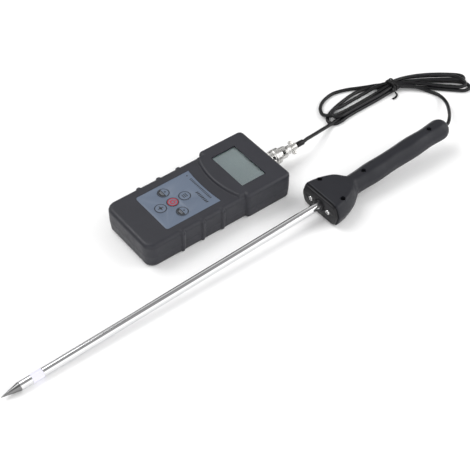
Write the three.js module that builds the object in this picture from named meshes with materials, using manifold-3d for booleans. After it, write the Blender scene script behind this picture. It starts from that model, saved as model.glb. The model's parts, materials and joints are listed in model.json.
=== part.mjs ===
// Soil moisture meter: a hand-held display unit and a probe on a cord.
// The display unit lies on its back. The probe lies beside it, on its head and on the shoulder of its point.
// Millimetres. The origin is the middle of the display unit's back face; +X points to its connector, +Z up.
import * as THREE from "three";
import { mergeVertices } from "three/addons/utils/BufferGeometryUtils.js";
import Module from "manifold-3d";

const wasm = await Module();
wasm.setup();

// ---------------------------------------------------------------- driving dimensions

const GAP = 0.3; // left between pieces that touch on the real object

// Display unit: case
const CASE_LENGTH = 155;
const BODY_WIDTH = 68.4;
const HEAD_WIDTH = 74.8;
const BODY_HEIGHT = 26;
const HEAD_HEIGHT = 28.5;
const HEAD_LENGTH = 50.5; // the wide part that holds the display
const CASE_WALL = 2.2;
const PARTING_HEIGHT = 12; // where the front and back shells meet
const END_CORNER = 10; // corner radii, seen from above
const HEAD_CORNER = 5;
const SHOULDER_CORNER = 4;
const FRONT_FILLET = 3.2;
const BACK_FILLET = 1.8;
const BROW_RADIUS = 80; // the curved step from the keypad up to the display
const BROW_REACH = 11.4; // how far the step comes ahead of the shoulders
const BROW_INSET = 1.8; // the step's ends stand in from the body's sides
const RIB_COUNT = 3;
const RIB_PITCH = 21.6;
const RIB_RADIUS = 2;
const RIB_HEIGHT = 1.3;
const RIB_TO_SHOULDER = 24.8;

// Display unit: keypad
const KEYPAD_LENGTH = 58;
const KEYPAD_WIDTH = 48.2;
const KEYPAD_CORNER = 2.5;
const KEYPAD_SAG = 1.7; // the upper edge is hollow by this much
const KEYPAD_FROM_END = 26.6; // from the case's lower end to the keypad's lower edge
const KEYPAD_TO_KEYS = 23.4; // from the keypad's lower edge to the middle key
const OVERLAY_THICKNESS = 0.5;
const SPACER_THICKNESS = 0.9;
const DOME_SHEET_THICKNESS = 0.3;
const KEYPAD_FLOOR = 1.4; // case wall left under the keypad
const KEY_DIAMETER = 11;
const KEY_TRAVEL = 0.35;
const KEY_PITCH_ALONG = 13;
const KEY_PITCH_ACROSS = 14.4;
const DOME_DIAMETER = 9.2;
const DOME_RISE = 0.6;

// Display unit: display and board
const DISPLAY_LENGTH = 26.6; // what shows of it along X
const DISPLAY_WIDTH = 46.2;
const DISPLAY_TO_HEAD_END = 32; // from the middle of the display to the connector end
const DISPLAY_RECESS = 1.5;
const WINDOW_MARGIN = 2.5;
const WINDOW_THICKNESS = 1.2;
const PANEL_THICKNESS = 2.4;
const FRAME_WALL = 1.6;
const CONTACT_STRIP_WIDTH = 2;
const BOARD_THICKNESS = 1.6;
const BOARD_HEIGHT = 17.5; // underside of the board above the back face
const BOARD_MARGIN = 5;

// Display unit: batteries and their door
const CELL_DIAMETER = 10.4;
const CELL_LENGTH = 44;
const CELL_COUNT = 4;
const CELL_PITCH = 10.8;
const SPRING_LENGTH = 4;
const SPRING_WIRE = 0.6;
const SPRING_TURNS = 3;
const CONTACT_THICKNESS = 0.5;
const BAY_WALL = 1.5;
const BAY_FROM_END = 9;
const DOOR_THICKNESS = 2.2;
const DOOR_LIP = 2.4; // how far the door reaches past the bay at its inner end
const DOOR_MARGIN = 0.9;
const RAIL_WIDTH = 1.1;
const RAIL_THICKNESS = 0.8;
const DOOR_TRAVEL = 60;

// Display unit: case screws
const CASE_SCREW_IN = 5.9; // from the side of the body to the screw
const CASE_SCREW_FROM_END = 12;
const CASE_SCREW_FROM_HEAD_END = 9;
const CASE_SCREW_HEAD = 4.4;
const CASE_SCREW_SHAFT = 2;
const CASE_SCREW_LENGTH = 12;
const CASE_SCREW_DEPTH = 3; // how deep the heads sit
const BOSS_WALL = 1.6;

// Connector: 12 mm round screw connector
const SOCKET_RADIUS = 5.8;
const SOCKET_WALL = 0.9;
const SOCKET_FLANGE = 7.6;
const SOCKET_FLANGE_THICKNESS = 1.5;
const SOCKET_OUT = 9; // thread that stands out past the flange
const SOCKET_IN = 12; // how far the socket reaches into the case
const SOCKET_NUT_FLATS = 14;
const SOCKET_NUT_THICKNESS = 2.4;
const RING_RADIUS = 7.7;
const RING_LENGTH = 13.3;
const RING_LIP = 1.6;
const RING_TRAVEL = 3;
const CLIP_THICKNESS = 0.7;
const BARREL_RADIUS = 6;
const BARREL_LENGTH = 20.4; // from the ring's front to the clamp
const BARREL_NECK_LENGTH = 4;
const CLAMP_LENGTH = 9.8;
const CLAMP_RADIUS = 4.3;
const CLAMP_SCREW_SPREAD = 5.4;
const CLAMP_SCREW_HEAD = 3;
const CLAMP_SCREW_SHAFT = 1.6;
const CLAMP_ROLL = 45; // degrees about the cord
const SLEEVE_LENGTH = 9;
const SLEEVE_WALL = 0.7;
const PIN_COUNT = 4;
const PIN_CIRCLE = 2.2;
const PIN_RADIUS = 0.5;

// Probe: where its nose stands, and how it lies
const PROBE_X = 81.1;
const PROBE_Y = -72.1;
const PROBE_YAW = 0.35; // degrees
const ROD_DIAMETER = 8;
const ROD_LENGTH = 327.5; // from the nose plate to the point
const CONE_LENGTH = 17;
const COLLAR_LENGTH = 10.8;
const INSULATOR_LENGTH = 10.2;
const TUBE_WALL = 0.9;
const CORE_DIAMETER = 3;
const SLEEVE_GAP_WALL = 1; // wall of the insulating sleeve between the core and the tube
const SPIGOT_LENGTH = 6;
const TUBE_IN_HEAD = 20;
const CORE_PAST_TUBE = 6;

// Probe: handle
const GUARD_WIDTH = 52;
const GUARD_THICKNESS = 25;
const GUARD_LENGTH = 36;
const GRIP_WIDTH = 20.3;
const GRIP_THICKNESS = 20.3;
const GRIP_WAVE = 0.55;
const GRIP_WAVE_PITCH = 43;
const HANDLE_LENGTH = 156;
const RISE_START = 28; // from here back the grip rises off the rod's line
const HANDLE_RISE = 4.9; // the grip's end above the rod's line
const HANDLE_WALL = 2.2;
const HANDLE_FRONT = 2.6; // the shells' front edge, behind the nose plate's face
const NOSE_PLATE_INSET = 1.4;
const NOSE_PLATE_THICKNESS = 3.5;
const NOSE_BOSS_RADIUS = 6.4;
const NOSE_BOSS_HEIGHT = 2;
const NOSE_SCREW_SPREAD = 22.6;
const NOSE_SCREW_HEAD = 5.2;
const NOSE_SCREW_SHAFT = 2.6;
const FLANGE_THICKNESS = 5;
const FLANGE_LENGTH = 31;
const FLANGE_WIDTH = 14;
const HANDLE_SCREWS = [
  { x: 13.8, y: 15.6 },
  { x: 13.8, y: -15.6 },
  { x: 52.8, y: 0 },
  { x: 134.9, y: 0 },
];
const HANDLE_SCREW_HEAD = 4.2;
const HANDLE_SCREW_SHAFT = 2;
const HANDLE_SCREW_DEPTH = 3.5;
const SENSOR_BOARD_START = 60;
const SENSOR_BOARD_LENGTH = 62;
const SENSOR_BOARD_WIDTH = 11;
const SENSOR_BOARD_THICKNESS = 1.2;
const BUSH_RADIUS = 3.6;
const BUSH_LENGTH = 5;

// Cord
const CORD_DIAMETER = 3.5;
const HANK_HEIGHT = 8.5;
const TIE_THICKNESS = 1;
const TIE_WIDTH = 3;
const TIE_X = 256; // the tie is a band round the hank's waist
const TIE_MIDDLE = 18;
const WAIST = 13;

// ---------------------------------------------------------------- solids from three.js geometry

const ROUND = 20; // sides of a round piece

// The faces are turned outward, and the slivers that a lathe leaves on its axis are dropped.
function solid(geometry) {
  const plain = geometry.index ? geometry.toNonIndexed() : geometry.clone();
  for (const name of Object.keys(plain.attributes)) {
    if (name !== "position") plain.deleteAttribute(name);
  }
  const merged = mergeVertices(plain, 1e-4);
  const at = merged.attributes.position.array;
  const index = merged.index.array;
  const faces = [];
  let sixVolumes = 0;
  for (let i = 0; i < index.length; i += 3) {
    const [a, b, c] = [index[i], index[i + 1], index[i + 2]];
    if (a === b || b === c || c === a) continue;
    faces.push(a, b, c);
    const [p, q, r] = [a, b, c].map((k) => new THREE.Vector3().fromArray(at, 3 * k));
    sixVolumes += p.dot(q.cross(r));
  }
  if (sixVolumes < 0) faces.reverse();
  return new wasm.Manifold(
    new wasm.Mesh({ numProp: 3, vertProperties: at, triVerts: Uint32Array.from(faces) }),
  );
}

// Edges shorter than this are what a cut leaves behind, and are closed up.
const SLIVER = 0.004;

function geometryOf(made) {
  const mesh = made.simplify(SLIVER).getMesh();
  const geometry = new THREE.BufferGeometry();
  geometry.setAttribute("position", new THREE.BufferAttribute(Float32Array.from(mesh.vertProperties), 3));
  geometry.setIndex(new THREE.BufferAttribute(mesh.triVerts, 1));
  const flat = geometry.toNonIndexed();
  flat.computeVertexNormals();
  return flat;
}

function join(...solids) {
  return solids.reduce((all, one) => all.add(one));
}

function cut(from, ...tools) {
  return tools.reduce((left, tool) => left.subtract(tool), from);
}

function box(x0, x1, y0, y1, z0, z1) {
  const geometry = new THREE.BoxGeometry(x1 - x0, y1 - y0, z1 - z0);
  geometry.translate((x0 + x1) / 2, (y0 + y1) / 2, (z0 + z1) / 2);
  return solid(geometry);
}

// A round bar along Z, X or Y from one coordinate to another.
function rodZ(radius, z0, z1, x = 0, y = 0, sides = ROUND) {
  const geometry = new THREE.CylinderGeometry(radius, radius, z1 - z0, sides);
  geometry.rotateX(Math.PI / 2).translate(x, y, (z0 + z1) / 2);
  return solid(geometry);
}

function rodX(radius, x0, x1, y = 0, z = 0, sides = ROUND) {
  const geometry = new THREE.CylinderGeometry(radius, radius, x1 - x0, sides);
  geometry.rotateZ(Math.PI / 2).translate((x0 + x1) / 2, y, z);
  return solid(geometry);
}

// A turned piece along X. The profile is a closed loop of [x, radius] points.
function turnedX(profile, sides = ROUND) {
  const points = [...profile, profile[0]].map(([x, r]) => new THREE.Vector2(r, x));
  const geometry = new THREE.LatheGeometry(points, sides);
  geometry.rotateZ(-Math.PI / 2);
  return solid(geometry);
}

function turnedZ(profile, sides = ROUND) {
  const points = [...profile, profile[0]].map(([z, r]) => new THREE.Vector2(r, z));
  const geometry = new THREE.LatheGeometry(points, sides);
  geometry.rotateX(Math.PI / 2);
  return solid(geometry);
}

function prism(shape, z0, z1, segments = 4) {
  const geometry = new THREE.ExtrudeGeometry(shape, {
    depth: z1 - z0,
    bevelEnabled: false,
    curveSegments: segments,
  });
  geometry.translate(0, 0, z0);
  return solid(geometry);
}

// A prism whose edges at both ends are rounded off.
function filletedPrism(shape, z0, z1, fillet, segments = 4) {
  const geometry = new THREE.ExtrudeGeometry(shape, {
    depth: z1 - z0 - 2 * fillet,
    bevelThickness: fillet,
    bevelSize: fillet,
    bevelOffset: -fillet,
    bevelSegments: 2,
    curveSegments: segments,
  });
  geometry.translate(0, 0, z0 + fillet);
  return solid(geometry);
}

// A rectangle with one corner radius at its low X end and another at its high X end.
function roundedPlan(x0, x1, half, lowCorner, highCorner) {
  const shape = new THREE.Shape();
  const turn = Math.PI / 2;
  shape.absarc(x1 - highCorner, half - highCorner, highCorner, 0, turn);
  shape.absarc(x0 + lowCorner, half - lowCorner, lowCorner, turn, 2 * turn);
  shape.absarc(x0 + lowCorner, -half + lowCorner, lowCorner, 2 * turn, 3 * turn);
  shape.absarc(x1 - highCorner, -half + highCorner, highCorner, 3 * turn, 4 * turn);
  shape.closePath();
  return shape;
}

function tubeAlong(points, radius, sides, steps) {
  const section = new THREE.Shape();
  section.absarc(0, 0, radius, 0, 2 * Math.PI);
  const geometry = new THREE.ExtrudeGeometry(section, {
    steps,
    curveSegments: sides,
    extrudePath: new THREE.CatmullRomCurve3(points, false, "centripetal"),
  });
  return solid(geometry);
}

function shifted(made, x, y, z) {
  return made.translate([x, y, z]);
}

// ---------------------------------------------------------------- materials and nodes

function material(color, roughness, metalness) {
  return new THREE.MeshStandardMaterial({ color, roughness, metalness });
}

const materials = {
  case_plastic: material(0x3d3e43, 0.6, 0),
  handle_plastic: material(0x36373b, 0.6, 0),
  nose_plastic: material(0x242428, 0.55, 0),
  keypad_film: material(0x75808f, 0.45, 0),
  key_film: material(0x7d8796, 0.4, 0),
  display_glass: material(0x9fb0ac, 0.1, 0),
  display_panel: material(0x7f8d8a, 0.3, 0),
  black_plastic: material(0x141416, 0.5, 0),
  white_plastic: material(0xe6e4ee, 0.4, 0),
  steel: material(0xc9cacc, 0.2, 1),
  dark_steel: material(0x77777a, 0.3, 1),
  brass: material(0xc2a25a, 0.3, 1),
  board: material(0x1f5a3a, 0.5, 0),
  cell_wrap: material(0x2f4f7a, 0.4, 0),
  cord_jacket: material(0x141416, 0.5, 0),
};

const assembly = new THREE.Group();
const probe = new THREE.Group();
const plugGroup = new THREE.Group();
assembly.add(probe, plugGroup);

function node(name, look, made, parent = assembly) {
  const mesh = new THREE.Mesh(geometryOf(made), materials[look]);
  mesh.name = name;
  parent.add(mesh);
  return mesh;
}

// ---------------------------------------------------------------- display unit: case

const caseEnd = -CASE_LENGTH / 2;
const headEnd = CASE_LENGTH / 2;
const shoulder = headEnd - HEAD_LENGTH;
const bodyHalf = BODY_WIDTH / 2;
const headHalf = HEAD_WIDTH / 2;
const connectorHeight = HEAD_HEIGHT / 2;
const BIG = 150; // past the outside of whatever is being cut

const keypadStart = caseEnd + KEYPAD_FROM_END;
const keypadEnd = keypadStart + KEYPAD_LENGTH;
const overlayTop = BODY_HEIGHT - 0.1;
const overlayBottom = overlayTop - OVERLAY_THICKNESS;
const spacerTop = overlayBottom - GAP;
const spacerBottom = spacerTop - SPACER_THICKNESS;
const domeSheetTop = spacerBottom - GAP;
const domeSheetBottom = domeSheetTop - DOME_SHEET_THICKNESS;
const keypadRecess = domeSheetBottom - GAP;
const bodyCeiling = keypadRecess - KEYPAD_FLOOR;

const displayX = headEnd - DISPLAY_TO_HEAD_END;
const windowTop = HEAD_HEIGHT - DISPLAY_RECESS;
const windowBottom = windowTop - WINDOW_THICKNESS;
const headCeiling = HEAD_HEIGHT - CASE_WALL;
const panelTop = windowBottom - GAP;
const panelBottom = panelTop - PANEL_THICKNESS;
const boardTop = BOARD_HEIGHT + BOARD_THICKNESS;

const bayStart = caseEnd + BAY_FROM_END;
const bayLength = CELL_LENGTH + SPRING_LENGTH + 2 * CONTACT_THICKNESS + 5 * GAP;
const bayEnd = bayStart + bayLength;
const bayHalf = ((CELL_COUNT - 1) * CELL_PITCH + CELL_DIAMETER) / 2 + 2 * GAP;
const cellAxis = DOOR_THICKNESS + 2 * GAP + CELL_DIAMETER / 2;
const bayCeiling = cellAxis + CELL_DIAMETER / 2 + GAP;
const doorEnd = bayEnd + DOOR_LIP;
const doorHalf = bayHalf + DOOR_MARGIN;

const caseScrews = [-1, 1].flatMap((side) => [
  { x: caseEnd + CASE_SCREW_FROM_END, y: side * (bodyHalf - CASE_SCREW_IN), ceiling: bodyCeiling },
  { x: headEnd - CASE_SCREW_FROM_HEAD_END, y: side * (headHalf - CASE_SCREW_IN - CASE_WALL), ceiling: headCeiling },
]);
const bossRadius = CASE_SCREW_SHAFT / 2 + GAP + BOSS_WALL;
const counterboreRadius = CASE_SCREW_HEAD / 2 + GAP;

function bodyPlan(inset = 0) {
  return roundedPlan(caseEnd + inset, displayX, bodyHalf - inset, END_CORNER - inset, SHOULDER_CORNER);
}

function headPlan(inset = 0) {
  return roundedPlan(
    shoulder + inset,
    headEnd - inset,
    headHalf - inset,
    Math.max(SHOULDER_CORNER - inset, 0.4),
    HEAD_CORNER - inset,
  );
}

// The raised brow in front of the display: a slab ended by a large disc's rounded edge.
function brow(zBase) {
  const half = bodyHalf - BROW_INSET;
  const plan = roundedPlan(shoulder - 2 * BROW_REACH, displayX, half, SHOULDER_CORNER, SHOULDER_CORNER);
  const round = HEAD_HEIGHT - BODY_HEIGHT + BROW_INSET;
  const edge = [0, 1, 2, 3].map((i) => {
    const turn = ((i / 3) * Math.PI) / 2;
    return [HEAD_HEIGHT - round * (1 - Math.sin(turn)), BROW_RADIUS - round * (1 - Math.cos(turn))];
  });
  const [under, over] = [zBase - 1, HEAD_HEIGHT + 1];
  const disc = turnedZ(
    [[under, 0], [under, BROW_RADIUS], ...edge, [over, BROW_RADIUS - round], [over, 0]],
    60,
  );
  const middle = shoulder - BROW_REACH + BROW_RADIUS;
  return filletedPrism(plan, zBase, HEAD_HEIGHT, FRONT_FILLET).intersect(shifted(disc, middle, 0, 0));
}

function ribs(z0, z1) {
  const lengthwise = z1 - z0 - 2 * RIB_RADIUS;
  const made = [];
  for (let i = 0; i < RIB_COUNT; i++) {
    for (const side of [-1, 1]) {
      const rib = new THREE.CapsuleGeometry(RIB_RADIUS, lengthwise, 2, 8);
      const x = shoulder - RIB_TO_SHOULDER - i * RIB_PITCH;
      rib.rotateX(Math.PI / 2).translate(x, side * (bodyHalf + RIB_HEIGHT - RIB_RADIUS), (z0 + z1) / 2);
      made.push(solid(rib));
    }
  }
  return join(...made);
}

function socketHole() {
  return rodX(SOCKET_RADIUS + GAP, headEnd - 3 * CASE_WALL, headEnd + CASE_WALL, 0, connectorHeight);
}

function keypadPlan(grow) {
  const x0 = keypadStart - grow;
  const x1 = keypadEnd + grow;
  const half = KEYPAD_WIDTH / 2 + grow;
  const r = KEYPAD_CORNER;
  const shape = new THREE.Shape();
  shape.moveTo(x1, -half);
  shape.quadraticCurveTo(x1 - 2 * KEYPAD_SAG, 0, x1, half);
  shape.lineTo(x0 + r, half);
  shape.absarc(x0 + r, half - r, r, Math.PI / 2, Math.PI);
  shape.absarc(x0 + r, -half + r, r, Math.PI, 1.5 * Math.PI);
  shape.closePath();
  return shape;
}

function windowOpening() {
  const top = HEAD_HEIGHT + 1;
  return join(
    box(...displayBox(0), windowTop - GAP, top),
    box(...displayBox(WINDOW_MARGIN + GAP), headCeiling - 1, windowTop + GAP),
  );
}

// The display's rectangle grown by a margin, as x0, x1, y0, y1.
function displayBox(margin) {
  const halfLength = DISPLAY_LENGTH / 2 + margin;
  const halfWidth = DISPLAY_WIDTH / 2 + margin;
  return [displayX - halfLength, displayX + halfLength, -halfWidth, halfWidth];
}

function frontShell() {
  const below = -BIG;
  const outer = join(
    filletedPrism(bodyPlan(), below, BODY_HEIGHT, FRONT_FILLET),
    filletedPrism(headPlan(), below, HEAD_HEIGHT, FRONT_FILLET),
    brow(below),
    ribs(-RIB_RADIUS * 4, BODY_HEIGHT - FRONT_FILLET * 0.3),
  );
  const hollow = join(
    prism(bodyPlan(CASE_WALL), below, bodyCeiling, 3),
    prism(headPlan(CASE_WALL), below, headCeiling, 3),
  );
  const bosses = caseScrews.map(({ x, y, ceiling }) => rodZ(bossRadius, PARTING_HEIGHT, ceiling + 0.5, x, y, 12));
  const pilots = caseScrews.map(({ x, y }) =>
    rodZ(CASE_SCREW_SHAFT / 2 + GAP, below, bodyCeiling - 2, x, y, 12),
  );
  const shell = cut(
    join(cut(outer, hollow), ...bosses),
    ...pilots,
    prism(keypadPlan(GAP), keypadRecess, BIG),
    windowOpening(),
    socketHole(),
  );
  return cut(shell, box(-BIG, BIG, -BIG, BIG, -2 * BIG, PARTING_HEIGHT + GAP / 2));
}

function backOuter() {
  const outer = join(
    filletedPrism(bodyPlan(), 0, BIG, BACK_FILLET),
    filletedPrism(headPlan(), 0, BIG, BACK_FILLET),
    ribs(BACK_FILLET * 0.5, BODY_HEIGHT * 2),
  );
  return cut(outer, box(-BIG, BIG, -BIG, BIG, PARTING_HEIGHT - GAP / 2, 2 * BIG));
}

function doorSpace(grow) {
  const rail = doorHalf + RAIL_WIDTH;
  const railBase = (DOOR_THICKNESS - RAIL_THICKNESS) / 2;
  return join(
    box(caseEnd - 5, doorEnd + grow, -doorHalf - grow, doorHalf + grow, -1, DOOR_THICKNESS + grow),
    box(caseEnd - 5, doorEnd + grow, -rail - grow, rail + grow, railBase - grow, railBase + RAIL_THICKNESS + grow),
  );
}

function backShell() {
  const floor = cut(
    backOuter(),
    prism(bodyPlan(CASE_WALL), CASE_WALL, BIG, 3),
    prism(headPlan(CASE_WALL), CASE_WALL, BIG, 3),
  );
  const bay = box(
    bayStart - BAY_WALL,
    bayEnd + BAY_WALL,
    -bayHalf - BAY_WALL,
    bayHalf + BAY_WALL,
    CASE_WALL - 0.5,
    bayCeiling + BAY_WALL,
  );
  const doorLedge = box(caseEnd + CASE_WALL, doorEnd + 2, -doorHalf - 2.6, doorHalf + 2.6, 1, DOOR_THICKNESS + 1.5);
  const posts = caseScrews.map(({ x, y }) =>
    rodZ(counterboreRadius + BOSS_WALL, CASE_WALL - 0.5, PARTING_HEIGHT - GAP / 2, x, y, 16),
  );
  const screwHoles = caseScrews.flatMap(({ x, y }) => [
    rodZ(counterboreRadius, -1, CASE_SCREW_DEPTH + 2, x, y, 16),
    rodZ(CASE_SCREW_SHAFT / 2 + GAP, 0, BIG, x, y, 12),
  ]);
  return cut(
    join(floor, bay, doorLedge, ...posts),
    doorSpace(GAP),
    box(bayStart, bayEnd, -bayHalf, bayHalf, -1, bayCeiling),
    ...screwHoles,
    socketHole(),
  );
}

function batteryDoor() {
  const plate = filletedPrism(bodyPlan(), 0, BIG, BACK_FILLET).intersect(doorSpace(0));
  const grooves = [0, 1, 2, 3, 4].map((i) => {
    const x = caseEnd + 9 + i * 2.2;
    return box(x, x + 1, -9, 9, -1, 0.45);
  });
  return cut(plate, ...grooves);
}

function caseScrew({ x, y }) {
  const seat = CASE_SCREW_DEPTH + 2 - GAP;
  return cut(
    join(
      rodZ(CASE_SCREW_HEAD / 2, CASE_SCREW_DEPTH, seat, x, y, 16),
      rodZ(CASE_SCREW_SHAFT / 2, seat - 0.1, seat + CASE_SCREW_LENGTH, x, y, 12),
    ),
    crossSlot(x, y, CASE_SCREW_DEPTH, CASE_SCREW_HEAD, -1),
  );
}

// The cross in a screw's head, cut from a face at height z; side is 1 where the head faces up and -1 down.
function crossSlot(x, y, z, head, side) {
  const reach = head * 0.32;
  const half = head * 0.07;
  const deep = head * 0.22;
  const z0 = side > 0 ? z - deep : z - 1;
  const z1 = side > 0 ? z + 1 : z + deep;
  return join(
    box(x - reach, x + reach, y - half, y + half, z0, z1),
    box(x - half, x + half, y - reach, y + reach, z0, z1),
  );
}

node("front_shell", "case_plastic", frontShell());
node("back_shell", "case_plastic", backShell());
node("battery_door", "case_plastic", batteryDoor());
caseScrews.forEach((place, i) => node(`case_screw_${i + 1}`, "dark_steel", caseScrew(place)));

// ---------------------------------------------------------------- display unit: keypad

const keyX = keypadStart + KEYPAD_TO_KEYS;
const keys = [
  { name: "power", x: keyX, y: 0 },
  { name: "up", x: keyX + KEY_PITCH_ALONG, y: 0 },
  { name: "down", x: keyX - KEY_PITCH_ALONG, y: 0 },
  { name: "left", x: keyX, y: KEY_PITCH_ACROSS },
  { name: "right", x: keyX, y: -KEY_PITCH_ACROSS },
];

function keyHoles(z0, z1) {
  return keys.map(({ x, y }) => rodZ(KEY_DIAMETER / 2 + GAP, z0, z1, x, y));
}

function keyCap({ x, y }) {
  const base = overlayBottom - 0.1;
  const radius = KEY_DIAMETER / 2;
  const profile = [[0, 0], [0, radius], [0.7, radius], [0.95, radius - 0.5], [1.1, radius * 0.5], [1.1, 0]];
  return shifted(turnedZ(profile), x, y, base);
}

function domeSheet() {
  const profile = [[0, 0], [0, DOME_DIAMETER / 2], [DOME_RISE * 0.7, DOME_DIAMETER * 0.3], [DOME_RISE, 0]];
  const domes = keys.map(({ x, y }) => shifted(turnedZ(profile, 16), x, y, domeSheetTop - 0.1));
  return join(prism(keypadPlan(-1), domeSheetBottom, domeSheetTop, 3), ...domes);
}

node("keypad_overlay", "keypad_film", cut(prism(keypadPlan(0), overlayBottom, overlayTop), ...keyHoles(0, BIG)));
node("keypad_spacer", "black_plastic", cut(prism(keypadPlan(-1), spacerBottom, spacerTop, 3), ...keyHoles(0, BIG)));
node("dome_sheet", "white_plastic", domeSheet());
keys.forEach((key) => node(`key_${key.name}`, "key_film", keyCap(key)));

// ---------------------------------------------------------------- display unit: display and board

const frameHalf = DISPLAY_WIDTH / 2 + WINDOW_MARGIN;

function displayFrame() {
  const outside = box(...displayBox(WINDOW_MARGIN), boardTop + GAP, panelTop);
  const inside = box(...displayBox(WINDOW_MARGIN - FRAME_WALL), 0, BIG);
  return cut(outside, inside);
}

function contactStrip(side) {
  const x = displayX + side * (DISPLAY_LENGTH / 2 - CONTACT_STRIP_WIDTH);
  const half = CONTACT_STRIP_WIDTH / 2;
  return box(x - half, x + half, -DISPLAY_WIDTH / 2, DISPLAY_WIDTH / 2, boardTop + GAP, panelBottom - GAP);
}

function mainBoard() {
  const end = displayX + DISPLAY_LENGTH / 2 + WINDOW_MARGIN;
  const half = frameHalf;
  return box(keypadStart, end, -half, half, BOARD_HEIGHT, boardTop);
}

node("display_window", "display_glass", box(...displayBox(WINDOW_MARGIN), windowBottom, windowTop));
node("display_panel", "display_panel", box(...displayBox(WINDOW_MARGIN - FRAME_WALL - GAP), panelBottom, panelTop));
node("display_frame", "black_plastic", displayFrame());
node("contact_strip_lower", "cord_jacket", contactStrip(-1));
node("contact_strip_upper", "cord_jacket", contactStrip(1));
node("main_board", "board", mainBoard());
const chipX = (keypadStart + keypadEnd) / 2;
node("processor_chip", "black_plastic", box(chipX - 6, chipX + 6, -6, 6, boardTop + GAP, boardTop + 1.9));

// ---------------------------------------------------------------- display unit: batteries

const cellStart = bayStart + GAP + CONTACT_THICKNESS + SPRING_LENGTH + GAP;
const cellRows = Array.from({ length: CELL_COUNT }, (_, i) => (i - (CELL_COUNT - 1) / 2) * CELL_PITCH);

function cell(y) {
  const r = CELL_DIAMETER / 2;
  const profile = [
    [0, 0],
    [0, r],
    [CELL_LENGTH - 1, r],
    [CELL_LENGTH - 1, 1.9],
    [CELL_LENGTH, 1.9],
    [CELL_LENGTH, 0],
  ];
  return shifted(turnedX(profile, 20), cellStart, y, cellAxis);
}

function springCoil(y) {
  const points = [];
  const perTurn = 6;
  const coilRadius = 2.6;
  const rise = SPRING_LENGTH - SPRING_WIRE;
  for (let i = 0; i <= SPRING_TURNS * perTurn; i++) {
    const turn = (i / perTurn) * 2 * Math.PI;
    const x = bayStart + GAP + CONTACT_THICKNESS + (rise * i) / (SPRING_TURNS * perTurn);
    points.push(new THREE.Vector3(x, y + coilRadius * Math.cos(turn), cellAxis + coilRadius * Math.sin(turn)));
  }
  return tubeAlong(points, SPRING_WIRE / 2, 4, SPRING_TURNS * perTurn);
}

function contactPlate(x) {
  const half = bayHalf - GAP;
  return box(x, x + CONTACT_THICKNESS, -half, half, cellAxis - 4, cellAxis + 4);
}

cellRows.forEach((y, i) => node(`battery_cell_${i + 1}`, "cell_wrap", cell(y)));
node("spring_contact", "steel", join(contactPlate(bayStart + GAP), ...cellRows.map(springCoil)));
node("flat_contact", "steel", contactPlate(bayEnd - GAP - CONTACT_THICKNESS));

// ---------------------------------------------------------------- connector

const flangeFront = headEnd + GAP + SOCKET_FLANGE_THICKNESS;
const socketFront = flangeFront + SOCKET_OUT;
const socketBack = headEnd - SOCKET_IN;
const ringStart = flangeFront + GAP;
const ringEnd = ringStart + RING_LENGTH;
const barrelEnd = ringStart + BARREL_LENGTH;
const neckEnd = barrelEnd + BARREL_NECK_LENGTH;
const clampEnd = neckEnd + CLAMP_LENGTH;
const cordRadius = CORD_DIAMETER / 2;
const cordBore = cordRadius + GAP;

plugGroup.position.set(0, 0, connectorHeight);

function panelSocket() {
  const inner = SOCKET_RADIUS - SOCKET_WALL;
  return turnedX([
    [socketBack, SOCKET_RADIUS - 0.6],
    [headEnd + GAP, SOCKET_RADIUS - 0.6],
    [headEnd + GAP, SOCKET_FLANGE],
    [flangeFront, SOCKET_FLANGE],
    [flangeFront, SOCKET_RADIUS],
    [socketFront, SOCKET_RADIUS],
    [socketFront, inner],
    [socketBack, inner],
  ]);
}

function socketNut() {
  const radius = SOCKET_NUT_FLATS / 2 / Math.cos(Math.PI / 6);
  const end = headEnd - CASE_WALL - GAP;
  return cut(
    rodX(radius, end - SOCKET_NUT_THICKNESS, end, 0, 0, 6),
    rodX(SOCKET_RADIUS - 0.6 + GAP, 0, BIG),
  );
}

// Plastic inserts: the socket's carries the pins, the plug's takes them.
function pinPlaces() {
  return Array.from({ length: PIN_COUNT }, (_, i) => {
    const turn = ((i + 0.5) / PIN_COUNT) * 2 * Math.PI;
    return { y: PIN_CIRCLE * Math.cos(turn), z: PIN_CIRCLE * Math.sin(turn) };
  });
}

const barrelBore = BARREL_RADIUS - 1.6;
const insertRadius = SOCKET_RADIUS - SOCKET_WALL - GAP;
const insertFace = headEnd + 1.5;

function socketInsert() {
  const pins = pinPlaces().map(({ y, z }) => rodX(PIN_RADIUS, socketBack - 3, insertFace + 5, y, z, 8));
  return join(rodX(insertRadius, socketBack + 1, insertFace, 0, 0), ...pins);
}

function plugInsert() {
  const holes = pinPlaces().map(({ y, z }) => rodX(PIN_RADIUS + GAP, 0, insertFace + 5 + GAP, y, z, 8));
  return cut(rodX(barrelBore - GAP, insertFace + GAP, socketFront + 2, 0, 0), ...holes);
}

// The coupling ring screws on to the socket, and its rear lip pulls the plug in by the clip behind the shell's collar.
const lipStart = ringEnd - RING_LIP;
const collarEnd = lipStart - CLIP_THICKNESS - 2 * GAP;
const ringBarrel = BARREL_RADIUS - 1; // the shell's radius under the ring

function couplingRing() {
  const bore = SOCKET_RADIUS + GAP;
  const lipBore = ringBarrel + GAP;
  return turnedX(
    [
      [ringStart, bore],
      [ringStart, RING_RADIUS - 0.6],
      [ringStart + 0.8, RING_RADIUS],
      [ringStart + 5.4, RING_RADIUS],
      [ringStart + 5.8, RING_RADIUS - 0.5],
      [ringStart + 6.6, RING_RADIUS - 0.5],
      [ringStart + 7, RING_RADIUS],
      [ringEnd - 0.8, RING_RADIUS],
      [ringEnd, RING_RADIUS - 0.6],
      [ringEnd, lipBore],
      [lipStart, lipBore],
      [lipStart, bore],
    ],
    24,
  );
}

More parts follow.
